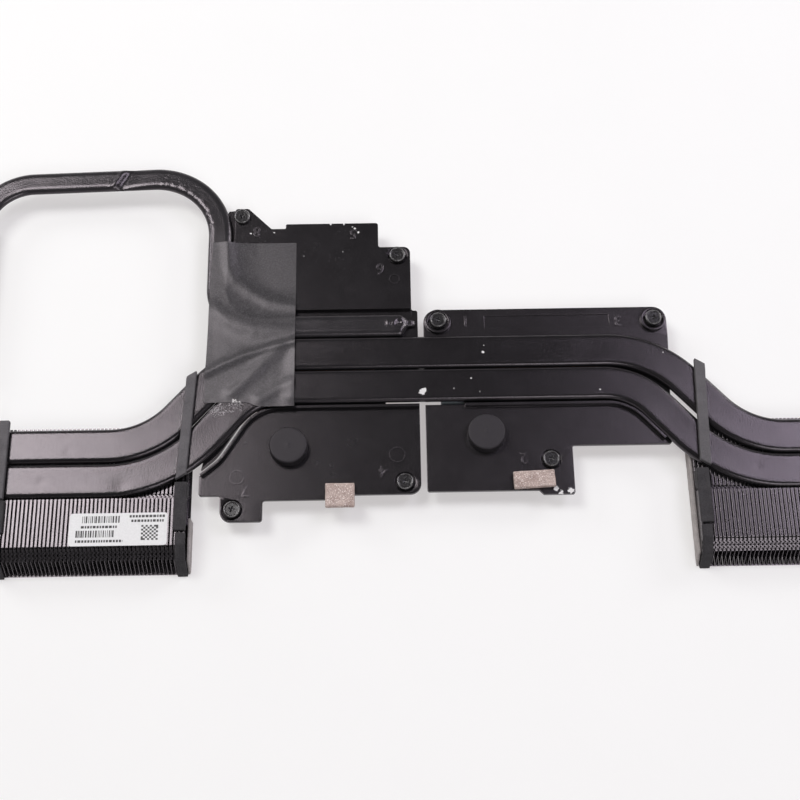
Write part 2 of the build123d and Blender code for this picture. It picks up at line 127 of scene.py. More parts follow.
def copy_of(node, name):
    """A welded copy of a construction node, with its flat faces whole again."""
    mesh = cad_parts[node].data.copy()
    for extra in [a.name for a in mesh.attributes if a.name == "custom_normal"]:
        mesh.attributes.remove(mesh.attributes[extra])
    shape = bmesh.new()
    shape.from_mesh(mesh)
    bmesh.ops.remove_doubles(shape, verts=shape.verts, dist=2e-6)
    bmesh.ops.dissolve_limit(shape, angle_limit=math.radians(0.4), verts=shape.verts, edges=shape.edges)
    shape.to_mesh(mesh)
    shape.free()
    piece = bpy.data.objects.new(name, mesh)
    scene.collection.objects.link(piece)
    return piece


def circle_turns(count):
    """Angles of points that are spread evenly round a circle."""
    return [2 * math.pi * k / count for k in range(count)]


def band_faces(lower, upper, count):
    """Quads between two closed rings, from the numbers of their first points."""
    return [(lower + k, lower + (k + 1) % count, upper + (k + 1) % count, upper + k) for k in range(count)]


def disc(x, y, radius, bottom, top, count=64):
    """Points and faces of a short round bar."""
    ring = [(x + radius * math.cos(t), y + radius * math.sin(t)) for t in circle_turns(count)]
    points = [(a, b, bottom) for a, b in ring] + [(a, b, top) for a, b in ring]
    faces = band_faces(0, count, count)
    return points, faces + [tuple(range(count - 1, -1, -1)), tuple(range(count, 2 * count))]


def retile(shape):
    """Cuts large flat faces into triangles that keep to their outline, however winding it is."""
    for face in [f for f in shape.faces if len(f.verts) > 8]:
        corners = list(face.verts)
        drop = max(range(3), key=lambda axis: abs(face.normal[axis]))
        keep = [axis for axis in range(3) if axis != drop]
        level = face.calc_center_median()[drop]
        flat = [Vector([v.co[axis] / MM for axis in keep]) for v in corners]
        spots, _, tiles, origin, _, _ = geometry.delaunay_2d_cdt(flat, [], [list(range(len(flat)))], 1, 1e-5)
        placed = []
        for spot, known in zip(spots, origin):
            if known:
                placed.append(corners[known[0]])
            else:
                point = [0.0, 0.0, 0.0]
                point[drop] = level
                point[keep[0]], point[keep[1]] = spot[0] * MM, spot[1] * MM
                placed.append(shape.verts.new(point))
        normal = face.normal.copy()
        shape.faces.remove(face)
        for tile in tiles:
            made = [placed[i] for i in tile]
            if len(set(made)) < 3 or shape.faces.get(made):
                continue
            new = shape.faces.new(made)
            new.normal_update()
            if new.normal.dot(normal) < 0:
                new.normal_flip()


def rounded_copy(node, name, width_mm, segments=2, wells=()):
    """A copy with its sharp edges broken, and with a shallow round well at each named place."""
    piece = copy_of(node, name)
    for x, y, level, radius, depth in wells:
        drill = add_mesh("drill", *disc(x, y, radius, level - depth, level + 1.0))
        cut = piece.modifiers.new("well", "BOOLEAN")
        cut.operation = "DIFFERENCE"
        cut.object = drill
        apply_modifiers(piece)
        bpy.data.objects.remove(drill)
    shape = bmesh.new()
    shape.from_mesh(piece.data)
    sharp = [e for e in shape.edges if len(e.link_faces) == 2 and e.calc_face_angle() > math.radians(40)]
    bmesh.ops.bevel(shape, geom=sharp, offset=width_mm * MM, segments=segments, profile=0.5, affect="EDGES")
    retile(shape)
    shape.to_mesh(piece.data)
    shape.free()
    soften(piece)
    even = piece.modifiers.new("flat faces stay flat", "WEIGHTED_NORMAL")
    even.keep_sharp = True
    even.weight = 100
    apply_modifiers(piece)
    return piece


print("helpers ready")

# %% [markdown]
# ## Finishes
# All finishes are node trees on the Principled shader. A small helper adds a node and fills its sockets,
# so that each finish reads as a recipe: a colour that varies, a roughness that varies, and a fine bump.


# %% Node helpers
class Recipe:
    """One finish: its node tree, with short ways to add what most finishes share."""

    def __init__(self, name):
        self.material = bpy.data.materials.new(name)
        self.material.use_nodes = True
        self.tree = self.material.node_tree
        self.shader = self.tree.nodes["Principled BSDF"]
        self.place = self.node("ShaderNodeTexCoord").outputs["Object"]

    def node(self, kind, inputs=None, **settings):
        """Adds a node: its settings first, then a value or a link for each socket that is named."""
        made = self.tree.nodes.new(kind)
        for key, value in settings.items():
            setattr(made, key, value)
        for key, value in (inputs or {}).items():
            if isinstance(value, bpy.types.NodeSocket):
                self.tree.links.new(value, made.inputs[key])
            else:
                made.inputs[key].default_value = value
        return made

    def math(self, operation, a, b, clamp=False):
        """One step of arithmetic on numbers."""
        return self.node("ShaderNodeMath", {0: a, 1: b}, operation=operation, use_clamp=clamp).outputs[0]

    def vector(self, operation, inputs):
        """One step of arithmetic on places; gives the node's outputs."""
        return self.node("ShaderNodeVectorMath", inputs, operation=operation).outputs

    def noise(self, size_mm, detail=3.0, roughness=0.55, where=None):
        """Cloudy grey with spots of about that size."""
        inputs = {"Vector": where or self.place, "Scale": 1 / (size_mm * MM), "Detail": detail}
        inputs["Roughness"] = roughness
        return self.node("ShaderNodeTexNoise", inputs).outputs[0]

    def ramp(self, value, *stops):
        """A colour that runs between stops as a grey value rises."""
        made = self.node("ShaderNodeValToRGB", {0: value})
        elements = made.color_ramp.elements
        while len(elements) < len(stops):
            elements.new(0.5)
        for element, (position, colour) in zip(elements, stops):
            element.position = position
            element.color = (*colour, 1)
        return made.outputs[0]

    def blend(self, amount, a, b):
        """Two colours mixed by an amount."""
        made = self.node("ShaderNodeMix", {0: amount}, data_type="RGBA")
        for socket, value in ((made.inputs[6], a), (made.inputs[7], b)):
            if isinstance(value, bpy.types.NodeSocket):
                self.tree.links.new(value, socket)
            else:
                socket.default_value = (*value, 1)
        return made.outputs[2]

    def span(self, value, low, high):
        """A grey value stretched between two numbers."""
        return self.node("ShaderNodeMapRange", {0: value, 1: 0.25, 2: 0.75, 3: low, 4: high}).outputs[0]

    def bump(self, height, depth_mm, strength=1.0):
        """A fine relief that only the light sees."""
        inputs = {"Height": height, "Distance": depth_mm * MM, "Strength": strength}
        made = self.node("ShaderNodeBump", inputs)
        self.tree.links.new(made.outputs[0], self.shader.inputs["Normal"])

    def set(self, **sockets):
        """Fills the shader's sockets; an underscore stands for a space in a socket's name."""
        for key, value in sockets.items():
            socket = self.shader.inputs[key.replace("_", " ")]
            if isinstance(value, bpy.types.NodeSocket):
                self.tree.links.new(value, socket)
            else:
                socket.default_value = value

    def spots(self, places_mm, ragged_mm):
        """White where a point lies within one of the named spots, with a ragged rim."""
        fine = {"Vector": self.place, "Scale": 1 / (ragged_mm * MM), "Detail": 4.0}
        wobble = self.node("ShaderNodeTexNoise", fine).outputs[1]
        centred = self.vector("SUBTRACT", {0: wobble, 1: (0.5, 0.5, 0.5)})[0]
        shift = self.vector("SCALE", {0: centred, "Scale": ragged_mm * MM * 3.0})[0]
        moved = self.vector("ADD", {0: self.place, 1: shift})[0]
        found = None
        for x, y, z, radius in places_mm:
            away = self.vector("DISTANCE", {0: moved, 1: (x * MM, y * MM, z * MM)})["Value"]
            inside = self.math("LESS_THAN", away, radius * MM)
            found = inside if found is None else self.math("MAXIMUM", found, inside)
        return found


print("node helpers ready")

# %% [markdown]
# ## Black paint
# Plates and pipes are sprayed together with a satin black paint that has a faint orange-peel skin. Where
# it is knocked off, bright metal shows as small ragged white chips. A painted picture could hold the
# chips, but spots at named places, each on its own piece, can be moved one at a time.


# %% Black paint
def black_paint(name, chips=(), scuffs=(), worn=0.71, dark=0.008, light=0.014, roughness=(0.175, 0.2),
                ior=1.6, peel_depth=0.09):
    """Satin black with a peel skin, scuffed specks and bright ragged chips."""
    recipe = Recipe(name)
    clouds = recipe.noise(9.0, detail=5.0)
    peel = recipe.noise(0.5, detail=3.0)
    tint = (1.0, 0.96, 1.04)
    colour = recipe.ramp(clouds, (0.3, [dark * c for c in tint]), (0.72, [light * c for c in tint]))
    rough = recipe.span(recipe.noise(3.0, detail=4.0), *roughness)
    if scuffs:
        speck = recipe.math("GREATER_THAN", recipe.noise(0.4, detail=3.0), worn)
        amount = recipe.math("MULTIPLY", speck, recipe.spots(scuffs, 1.2))
        colour = recipe.blend(amount, colour, (0.2, 0.195, 0.2))
    small = [chip for chip in chips if chip[3] < 0.5]
    large = [chip for chip in chips if chip[3] >= 0.5]
    for ragged, group in ((0.25, small), (0.8, large)):
        if group:
            colour = recipe.blend(recipe.spots(group, ragged), colour, (0.8, 0.79, 0.79))
    recipe.set(Base_Color=colour, Roughness=rough, IOR=ior, Specular_Tint=(1.0, 0.89, 0.98, 1))
    recipe.bump(peel, peel_depth, 0.6)
    return recipe.material


plate_chips = [(72.4, -39.8, PLATE_TOP, 0.75), (74.0, -41.2, PLATE_TOP, 0.7), (76.9, -40.5, PLATE_TOP, 0.9)]
panel_chips = [(11.2, 50.6, PANEL_TOP, 0.32), (12.3, 49.2, PANEL_TOP, 0.36), (10.4, 51.2, PANEL_TOP, 0.2),
               (-23.1, 49.3, PANEL_TOP, 0.28), (-15.4, 49.5, PANEL_TOP, 0.24), (3.2, 52.3, PANEL_TOP, 0.3),
               (7.6, 52.3, PANEL_TOP, 0.3), (-5.5, 40.7, PANEL_TOP, 0.12), (7.2, 42.0, PANEL_TOP, 0.12)]
panel_scuffs = [(11.5, 49.8, PANEL_TOP, 3.0), (-20.0, 49.0, PANEL_TOP, 5.0), (6.0, 51.5, PANEL_TOP, 4.0),
                (-5.0, 41.0, PANEL_TOP, 5.0), (7.0, 38.0, PANEL_TOP, 6.0)]
upper_chips = [(51.6, 5.0, PIPE_TOP, 0.42), (52.0, 7.4, PIPE_TOP, 0.18), (53.1, 10.9, PIPE_TOP, 0.3),
               (108.7, 4.0, PIPE_TOP, 0.2)]
lower_chips = [(32.3, -8.0, PIPE_TOP, 1.2), (47.5, -3.9, PIPE_TOP, 0.26), (87.8, -8.3, PIPE_TOP, 0.26),
               (42.0, -7.2, PIPE_TOP, 0.16), (50.1, -8.4, PIPE_TOP, 0.14)]
lower_scuffs = [(-32.8, -13.8, PIPE_TOP, 1.7), (-30.6, -13.2, PIPE_TOP, 1.9), (-28.0, -12.5, PIPE_TOP, 1.9),
                (-25.6, -11.8, PIPE_TOP, 1.7)]
cpu_paint = black_paint("cpu_plate_paint", panel_chips, panel_scuffs, roughness=(0.22, 0.26), ior=1.5,
                        peel_depth=0.05)
gpu_paint = black_paint("gpu_plate_paint", plate_chips, roughness=(0.23, 0.27), ior=1.62, peel_depth=0.05)
# The raised marks are painted a little lighter than the plates: a painted highlight for the light along their
# edges.
marks_painted_highlight = black_paint("raised_mark_paint", dark=0.014, light=0.024, roughness=(0.22, 0.26), ior=1.8)
print("paint chips placed", len(panel_chips) + len(plate_chips) + len(upper_chips) + len(lower_chips))

# %% [markdown]
# ## Base plates
# Both plates are thin castings. Copies of the construction with broken edges catch the light along their
# rims, which is what makes a black part readable. The screw order numbers and mould rings are slightly
# raised, so they are built as low solid forms on the plates, all turned round as on the real plates.

# %% Plates
WELL_DEPTH = 0.9
BOSS_TOP = PLATE_TOP + 1.2
cpu_screw_spots = [(-26.0, 55.3, PANEL_TOP, 0.0), (25.0, 40.3, PANEL_TOP, WELL_DEPTH),
                   (26.2, -36.9, PLATE_TOP, WELL_DEPTH), (-26.8, -45.0, PLATE_TOP, WELL_DEPTH)]
gpu_screw_spots = [(37.7, 16.8, BOSS_TOP, WELL_DEPTH), (106.8, 16.6, BOSS_TOP, WELL_DEPTH),
                   (71.5, -30.3, PLATE_TOP, WELL_DEPTH)]
WELL_RADIUS = 3.2
EDGE_BREAK = 0.14
cpu_wells = [(x, y, seat, WELL_RADIUS, depth) for x, y, seat, depth in cpu_screw_spots if depth]
gpu_wells = [(x, y, seat, WELL_RADIUS, depth) for x, y, seat, depth in gpu_screw_spots if depth]
cpu_plate = rounded_copy("cpu_base_plate", "cpu_plate", EDGE_BREAK, wells=cpu_wells)
dress(cpu_plate, cpu_paint, "black_paint", "cpu_base_plate")
gpu_plate = rounded_copy("gpu_base_plate", "gpu_plate", EDGE_BREAK, wells=gpu_wells)
dress(gpu_plate, gpu_paint, "black_paint", "gpu_base_plate")

# %% [markdown]
# ## Raised numbers and rings
# The screws are tightened in a set order, so raised figures stand beside them, and the pins of the mould
# leave raised rings. They could be bump in the paint, but low solid forms catch the light along their
# edges and stay in the exported mesh. A text curve with a bevel gives a figure, and a profile turned
# round its middle gives a ring.


# %% Raised numbers and rings
def raised_number(text, x, y, level, size_mm, turn):
    """A low raised figure that stands on a plate."""
    curve = bpy.data.curves.new("figure", "FONT")
    curve.body = text
    curve.size = size_mm * MM
    curve.align_x = "CENTER"
    curve.align_y = "CENTER"
    curve.offset = -0.06 * MM
    curve.extrude = 0.1 * MM
    curve.bevel_depth = 0.2 * MM
    curve.bevel_resolution = 2
    figure = bpy.data.objects.new("figure", curve)
    scene.collection.objects.link(figure)
    figure.location = (x * MM, y * MM, level * MM)
    figure.rotation_euler.z = math.radians(turn)
    bpy.context.view_layer.update()
    mesh = bpy.data.meshes.new_from_object(figure.evaluated_get(bpy.context.evaluated_depsgraph_get()))
    mesh.transform(figure.matrix_world)
    bpy.data.objects.remove(figure)
    return mesh


def raised_ring(x, y, level, radius, width=0.5, height=0.24, steps=56):
    """The ring that an ejector pin leaves in a casting."""
    half, shelf = width / 2, width / 4
    profile = [(radius - half, -0.1), (radius - shelf, height)]
    profile += [(radius + shelf, height), (radius + half, -0.1)]
    points = []
    faces = []
    for k, turn in enumerate(circle_turns(steps)):
        points += [(x + r * math.cos(turn), y + r * math.sin(turn), level + h) for r, h in profile]
        here, after = k * 4, (k + 1) % steps * 4
        faces += [(here + j, after + j, after + (j + 1) % 4, here + (j + 1) % 4) for j in range(4)]
    return points, faces


def raised_marks(name, numbers, rings, paint):
    """All the raised figures and rings of one plate, as one piece."""
    shape = bmesh.new()
    for number in numbers:
        mesh = raised_number(*number)
        shape.from_mesh(mesh)
        bpy.data.meshes.remove(mesh)
    for ring in rings:
        points, faces = raised_ring(*ring)
        corners = [shape.verts.new([c * MM for c in p]) for p in points]
        for face in faces:
            shape.faces.new([corners[i] for i in face])
    mesh = bpy.data.meshes.new(name)
    shape.to_mesh(mesh)
    shape.free()
    piece = bpy.data.objects.new(name, mesh)
    scene.collection.objects.link(piece)
    soften(piece)
    return dress(piece, paint, "black_paint")


cpu_numbers = [("8", -21.1, 49.9, PANEL_TOP, 5.0, 180), ("5", 10.6, 48.6, PANEL_TOP, 5.0, 180),
               ("6", 19.3, 35.7, PANEL_TOP, 5.6, 180), ("7", -23.0, -38.9, PLATE_TOP, 5.2, 180),
               ("4", 19.4, -33.2, PLATE_TOP, 5.2, 180)]
cpu_rings = [(-25.6, -34.6, PLATE_TOP, 2.2), (23.9, -28.0, PLATE_TOP, 2.4), (23.9, 31.8, PANEL_TOP, 1.6)]
gpu_numbers = [("1", 46.5, 17.2, PLATE_TOP, 5.2, 180), ("3", 95.6, 16.6, PLATE_TOP, 5.2, 180),
               ("2", 63.1, -29.6, PLATE_TOP, 5.2, 180)]
raised_marks("cpu_marks", cpu_numbers, cpu_rings, marks_painted_highlight)
raised_marks("gpu_marks", gpu_numbers, [], marks_painted_highlight)

# %% [markdown]
# ## Heat pipes
# A heat pipe is a round copper tube, bent and then pressed flat, so its section is a flat band with round
# sides. It could stay a construction node, but a pressed pipe is never perfectly flat: sweeping its
# section here allows a slow unevenness on the top, which breaks up the reflections. The route is straight
# runs joined by arcs.

# %% Route and section
ARC_STEP = 0.2


def bent_route(corners, radii, step):
    """Evenly spaced points along straight runs that are joined by arcs."""
    corners = [np.array(c, float) for c in corners]
    line = [corners[0]]
    for before, corner, after, radius in zip(corners, corners[1:], corners[2:], radii):
        back = (before - corner) / np.linalg.norm(before - corner)
        ahead = (after - corner) / np.linalg.norm(after - corner)
        half = math.acos(np.clip(back @ ahead, -1, 1)) / 2
        middle = (back + ahead) / np.linalg.norm(back + ahead)
        centre = corner + middle * radius / math.sin(half)
        first = corner + back * radius / math.tan(half) - centre
        last = corner + ahead * radius / math.tan(half) - centre
        begin = math.atan2(first[1], first[0])
        sweep = (math.atan2(last[1], last[0]) - begin + math.pi) % (2 * math.pi) - math.pi
        count = max(4, int(abs(sweep) * radius / ARC_STEP))
        turns = begin + sweep * np.arange(count + 1) / count
        line += [centre + radius * np.array([math.cos(t), math.sin(t)]) for t in turns]
    line.append(corners[-1])
    line = np.array(line)
    run = np.concatenate([[0], np.cumsum(np.linalg.norm(np.diff(line, axis=0), axis=1))])
    even = np.linspace(0, run[-1], int(run[-1] / step) + 1)
    return np.column_stack([np.interp(even, run, line[:, 0]), np.interp(even, run, line[:, 1])]), even


def pressed_section(width, thickness, roundness=1.12):
    """Points round a flattened tube: across, up."""
    round_side = thickness / 2
    shoulder = round_side * roundness
    flat = width / 2 - shoulder
    turns = np.radians(np.linspace(90, -90, 13))
    right = [(flat + shoulder * math.cos(t), round_side * math.sin(t)) for t in turns]
    left = [(-a, u) for a, u in reversed(right)]
    top = [(a, round_side) for a in np.linspace(-flat, flat, 11)[1:-1]]
    bottom = [(a, -round_side) for a in np.linspace(flat, -flat, 5)[1:-1]]
    return np.array(top + right + bottom + left)


def sweep_pipe(name, route, run, section, shape_at, dent):
    """Sweeps a section along a route; shape_at narrows it near its ends and dent moves its skin."""
    ahead = np.gradient(route, axis=0)
    ahead /= np.linalg.norm(ahead, axis=1)[:, None]
    points = []
    middle = PLATE_TOP + PIPE_THICK / 2
    for (x, y), (dx, dy), s in zip(route, ahead, run):
        wide, thick, drop, aside = shape_at(s)
        for across, up in section:
            a = across * wide + aside
            h = up * thick + drop
            p = np.array([x - dy * a, y + dx * a, middle + h])
            points.append(p + dent(p, a, up, s))
    count = len(section)
    faces = []
    for k in range(len(route) - 1):
        for j in range(count):
            n = (j + 1) % count
            faces.append((k * count + j, (k + 1) * count + j, (k + 1) * count + n, k * count + n))
    faces.append(tuple(range(count)))
    faces.append(tuple(reversed(range((len(route) - 1) * count, len(route) * count))))
    piece = add_mesh(name, points, faces)
    soften(piece, 50)
    return piece


def unevenness(p, depth, size):
    """A slow random height at a place."""
    return depth * noise.noise(Vector(p) / size)


print("section points", len(pressed_section(11.0, PIPE_THICK)))

# %% [markdown]
# ## The two main pipes
# They lie side by side over both contact blocks, then slope forward to the rear fins. The route repeats
# the construction's own sizes: two slopes of 48 degrees and a forward step of 30 mm.

# %% Main pipes
SLOPE = math.radians(48.0)
FORWARD = 30.0
PIPE_WIDTH = 11.0
PIPE_PITCH = 11.2
SLOPE_SPREAD = 0.55
OUTER_BEND = 34.0
INNER_BEND = 27.0
MAIN_STEP = 0.8
LEFT_SLOPE_X = -23.3
RIGHT_SLOPE_X = 101.9
MAIN_ENDS = (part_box("upper_heat_pipe")[0].x / MM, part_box("upper_heat_pipe")[1].x / MM)


def main_corners(offset, spread):
    """Corner points of one main pipe that lies an offset behind the pair's middle line."""
    step = FORWARD / math.tan(SLOPE)
    left = offset * math.tan(SLOPE / 2)
    right = left + spread / math.sin(SLOPE)
    ahead = offset - FORWARD
    return [(MAIN_ENDS[0], ahead), (LEFT_SLOPE_X - step - left, ahead), (LEFT_SLOPE_X - left, offset),
            (RIGHT_SLOPE_X + right, offset), (RIGHT_SLOPE_X + step + right, ahead), (MAIN_ENDS[1], ahead)]


def closed_ends(length):
    """Both ends of a main pipe are pinched round and soldered shut."""

    def shape(s):
        near = min(s, length - s)
        pinch = min(1.0, 0.35 + 0.65 * math.sqrt(max(0.0, min(1.0, near / 2.5))))
        return (0.6 + 0.4 * pinch, pinch, 0.0, 0.0)

    return shape


pipe_dents = [(-85.2, -36.3, 1.3, 0.06), (-60.7, -38.3, 2.4, 0.08), (-77.4, -26.4, 1.1, 0.04),
              (134.4, -34.5, 0.8, 0.05)]


def main_pipe(name, node, offset, spread, paint):
    """One main pipe, dressed; gives the line that it follows."""
    corners = main_corners(offset, spread)
    outer, inner = OUTER_BEND - offset, INNER_BEND + offset
    route, run = bent_route(corners, [outer, inner, inner, outer], MAIN_STEP)

    def dent(p, across, up, s):
        top = max(0.0, up)
        sink = -0.05 * (1 - (across / (PIPE_WIDTH / 2)) ** 2)
        for x, y, radius, depth in pipe_dents:
            sink -= depth * math.exp(-((p[0] - x) ** 2 + (p[1] - y) ** 2) / radius**2)
        return np.array([0, 0, top * (sink + unevenness(p, 0.022, 9.0) + unevenness(p, 0.004, 2.2))])

    section = pressed_section(PIPE_WIDTH, PIPE_THICK)
    piece = sweep_pipe(name, route, run, section, closed_ends(run[-1]), dent)
    dress(piece, paint, "black_paint", node)
    return route


upper_paint = black_paint("upper_pipe_paint", upper_chips)
lower_paint = black_paint("lower_pipe_paint", lower_chips, lower_scuffs, worn=0.55)
upper_route = main_pipe("upper_pipe", "upper_heat_pipe", PIPE_PITCH / 2, SLOPE_SPREAD, upper_paint)
lower_route = main_pipe("lower_pipe", "lower_heat_pipe", -PIPE_PITCH / 2, -SLOPE_SPREAD, lower_paint)

# %% [markdown]
# ## The loop pipe
# The narrower pipe runs from its sealed tip round the fan space to the side fins. It shows how such pipes
# are made: a crease where it was bent up, wrinkles on the inside of its bend, and three press marks next
# to the pinched tip. Bump alone could hint at them, but they bend the highlights, so the skin itself is
# moved.

# %% Loop pipe
LOOP_WIDTH = 7.6
LOOP_RUN_Y = 15.3
LOOP_LEG_X = -33.1
LOOP_BACK_Y = 71.0
LOOP_SIDE_X = -113.1
LOOP_TIP_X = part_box("loop_heat_pipe")[1].x / MM
LOOP_BACK_LEAN = 2.4
LOOP_END_Y = 7.0
LOOP_BEND = 22.0
LOOP_STEP = 0.4
CREASE_X = -65.5
CREASE_Y = 70.5
CREASE_LEAN = 0.55
WRINKLE_FROM = -12
WRINKLE_TO = 95
WRINKLE_RADIUS = 20.6
TIP_LENGTH = 4.6
TIP_TAPER = 2.6
press_marks = ((21.7, 0.6, -0.16), (23.3, 0.6, -0.16), (25.3, 0.8, 0.4))
loop_corners = [(LOOP_TIP_X, LOOP_RUN_Y), (LOOP_LEG_X, LOOP_RUN_Y), (LOOP_LEG_X, LOOP_BACK_Y),
                (LOOP_SIDE_X, LOOP_BACK_Y - LOOP_BACK_LEAN), (LOOP_SIDE_X, LOOP_END_Y)]
loop_route, loop_run = bent_route(loop_corners, [14.0, LOOP_BEND, 18.0], LOOP_STEP)
bend_middle = np.array([LOOP_LEG_X - LOOP_BEND, LOOP_BACK_Y - LOOP_BEND])


def loop_shape(s):
    """Width, thickness, drop and shift of the section: pinched to a nib at the tip, closed at the end."""
    tip = max(0.0, min(1.0, (TIP_LENGTH - s) / TIP_TAPER))
    tip = tip * tip * (3 - 2 * tip)
    round_nib = math.sqrt(max(0.1, min(1.0, s / 0.9)))
    near = min(1.0, (loop_run[-1] - s) / 2.0)
    closed = 0.4 + 0.6 * math.sqrt(max(0.0, near))
    wide = (1 - 0.69 * tip) * (0.6 + 0.4 * closed)
    return (wide * (0.5 + 0.5 * round_nib), (1 - 0.4 * tip) * closed * round_nib, -0.5 * tip, -0.8 * tip)


def loop_dent(p, across, up, s):
    """Moves the top skin: the crease on the back run, wrinkles in the bend, press marks by the tip."""
    top = max(0.0, up)
    lift = -0.04 * (1 - (across / (LOOP_WIDTH / 2)) ** 2)
    lift += unevenness(p, 0.035, 7.0) + unevenness(p, 0.006, 1.8)
    crease = p[0] - CREASE_X - CREASE_LEAN * (p[1] - CREASE_Y)
    if p[1] > 60 and abs(crease) < 14:
        slope = 1 / (1 + math.exp(-crease * 1.5))
        lift -= 0.95 * slope * math.exp(-max(0.0, crease) / 4.5)
        lift += 0.3 * math.exp(-((crease + 1.9) / 1.3) ** 2)
    away = p[:2] - bend_middle
    turn = math.degrees(math.atan2(away[1], away[0]))
    if WRINKLE_FROM < turn < WRINKLE_TO and abs(np.linalg.norm(away) - LOOP_BEND) < 5:
        near_side = max(0.0, min(1.0, (WRINKLE_RADIUS - np.linalg.norm(away)) / 1.6))
        fade = math.sin(math.radians(max(0.0, min(180.0, (turn - WRINKLE_FROM) * 1.68))))
        ripple = noise.noise(Vector((turn * 0.21, 2.0, 0))) + 0.7 * noise.noise(Vector((turn * 0.5, 7.0, 0)))
        lift += near_side * fade * (0.17 * ripple + unevenness(p, 0.12, 1.3))
    for x, wide, depth in press_marks:
        reach = ((p[0] - x) / wide) ** 2 + ((p[1] - LOOP_RUN_Y - 0.6) / 1.0) ** 2
        lift -= depth * math.exp(-reach)
    return np.array([0, 0, top * lift])


loop_section = pressed_section(LOOP_WIDTH, PIPE_THICK, 1.5)
loop_piece = sweep_pipe("loop_pipe", loop_route, loop_run, loop_section, loop_shape, loop_dent)
# The loop's paint is lighter than the main pipes': painted sheen for the light that the loop catches.
loop_painted_sheen = black_paint("loop_pipe_painted_sheen", light=0.03, dark=0.018)
dress(loop_piece, loop_painted_sheen, "black_paint", "loop_heat_pipe")

# %% [markdown]
# ## Zipper fins
# Each fin is a thin sheet whose edges are folded over; the folds stand against the next fin and small
# tongues hook into it, like a zipper. One fin is drawn as strips along its edge, each strip with its own
# fold width: full on top, cut back at the notches and reaching over at the tongues. Then it is given its
# sheet thickness. An array modifier could repeat it, but a loop lets each fin stand a little differently.

# %% One fin
FIN_PITCH = 1.23
FIN_SHEET = 0.16
FOLD_RADIUS = 0.2
FOOT_FOLD = 1.1
FIN_RUN = 4.0
FIN_DROP = 2.2
FIN_RAKE = 3.0
REAR_FIN_COUNT = 48
REAR_FIN_FLAT = 14.8
SIDE_FIN_COUNT = 36
SIDE_FIN_SEAT = 8.6
SIDE_FIN_FLAT = 6.0
fin_paint = black_paint("fin_paint", dark=0.018, light=0.028, roughness=(0.24, 0.29), ior=1.9,
                        peel_depth=0.003)


def fold_profile(width):
    """Across and depth of a fold: up the sheet, round the bend, out to the next fin."""
    turns = np.radians([0, 25, 50, 72, 90])
    bend = [(FOLD_RADIUS - FOLD_RADIUS * math.cos(t), FOLD_RADIUS - FOLD_RADIUS * math.sin(t)) for t in turns]
    return [(0.0, FOLD_RADIUS + 0.2)] + bend + [(max(width, FOLD_RADIUS + 0.02), 0.0)]


def fin_points(seat, flat):
    """One fin as a thin surface: across, along, level."""
    slope = seat + flat
    edge = slope + FIN_RUN
    front = edge + FIN_RAKE
    edge_top = FIN_TOP - FIN_DROP
    length = math.hypot(FIN_RUN, FIN_DROP)
    corners = [(0, PLATE_TOP), (seat, PLATE_TOP), (seat, FIN_TOP), (slope, FIN_TOP), (edge, edge_top)]
    full, cut, reach = 0.82, 0.0, 0.66
    row = seat - 2.1
    strips = [
        [(0, row, full), (row, row + 0.25, cut), (row + 0.25, row + 1.7, reach), (row + 1.9, seat, full)],
        [(0, FIN_TOP - PLATE_TOP, full)],
        [(0, flat, full)],
        [(0, 0.3, full), (0.3, 0.65, cut), (0.65, 1.3, full), (1.3, 2.65, reach), (2.75, 4.1, reach),
         (4.1, length, full)],
    ]
    points, faces = [], []

    def strip(a, b, inward, profile_a, profile_b):
        first = len(points)
        for (along, level), profile in ((a, profile_a), (b, profile_b)):
            points.extend((across, along + inward[0] * depth, level + inward[1] * depth)
                          for across, depth in profile)
        count = len(profile_a)
        faces.extend((first + j, first + j + 1, first + count + j + 1, first + count + j)
                     for j in range(count - 1))

    for start, stop, pieces in zip(corners, corners[1:], strips):
        span = math.hypot(stop[0] - start[0], stop[1] - start[1])
        ahead = ((stop[0] - start[0]) / span, (stop[1] - start[1]) / span)
        inward = (ahead[1], -ahead[0])
        for begin, end, width in pieces:
            places = (begin, (begin + end) / 2, end)
            a, middle, b = ((start[0] + ahead[0] * s, start[1] + ahead[1] * s) for s in places)
            if width == reach:
                foot = [(0.0, 0.1), (0.0, 0.02), (0.5, 0.02)]
                hook = [(reach, 0.1), (reach, -0.04), (reach + 0.5, -0.04)]
                strip(a, middle, inward, foot, hook)
                strip(middle, b, inward, hook, foot)
            else:
                strip(a, b, inward, fold_profile(width), fold_profile(width))
    foot_level = FIN_BOTTOM + FIN_SHEET / 2 + 0.02
    strip((0, foot_level), (front, foot_level), (0, 1), fold_profile(FOOT_FOLD), fold_profile(FOOT_FOLD))
    inset = FOLD_RADIUS
    web = [(0, FIN_BOTTOM + inset), (0, PLATE_TOP - inset), (seat + inset, PLATE_TOP - inset),
           (seat + inset, FIN_TOP - inset), (slope - 0.1, FIN_TOP - inset), (edge - 0.1, edge_top - inset),
           (edge, edge_top), (front, FIN_BOTTOM + inset)]
    first = len(points)
    points.extend((0.0, along, level) for along, level in web)
    faces.append(tuple(range(first, first + len(web))))
    return points, faces


def solid_fin(seat, flat):
    """Gives the fin its sheet thickness."""
    fin = add_mesh("fin", *fin_points(seat, flat))
    thick = fin.modifiers.new("sheet", "SOLIDIFY")
    thick.thickness = FIN_SHEET * MM
    thick.offset = 0
    apply_modifiers(fin)
    points = np.array([v.co for v in fin.data.vertices]) / MM
    faces = [tuple(p.vertices) for p in fin.data.polygons]
    bpy.data.objects.remove(fin)
    return points, faces


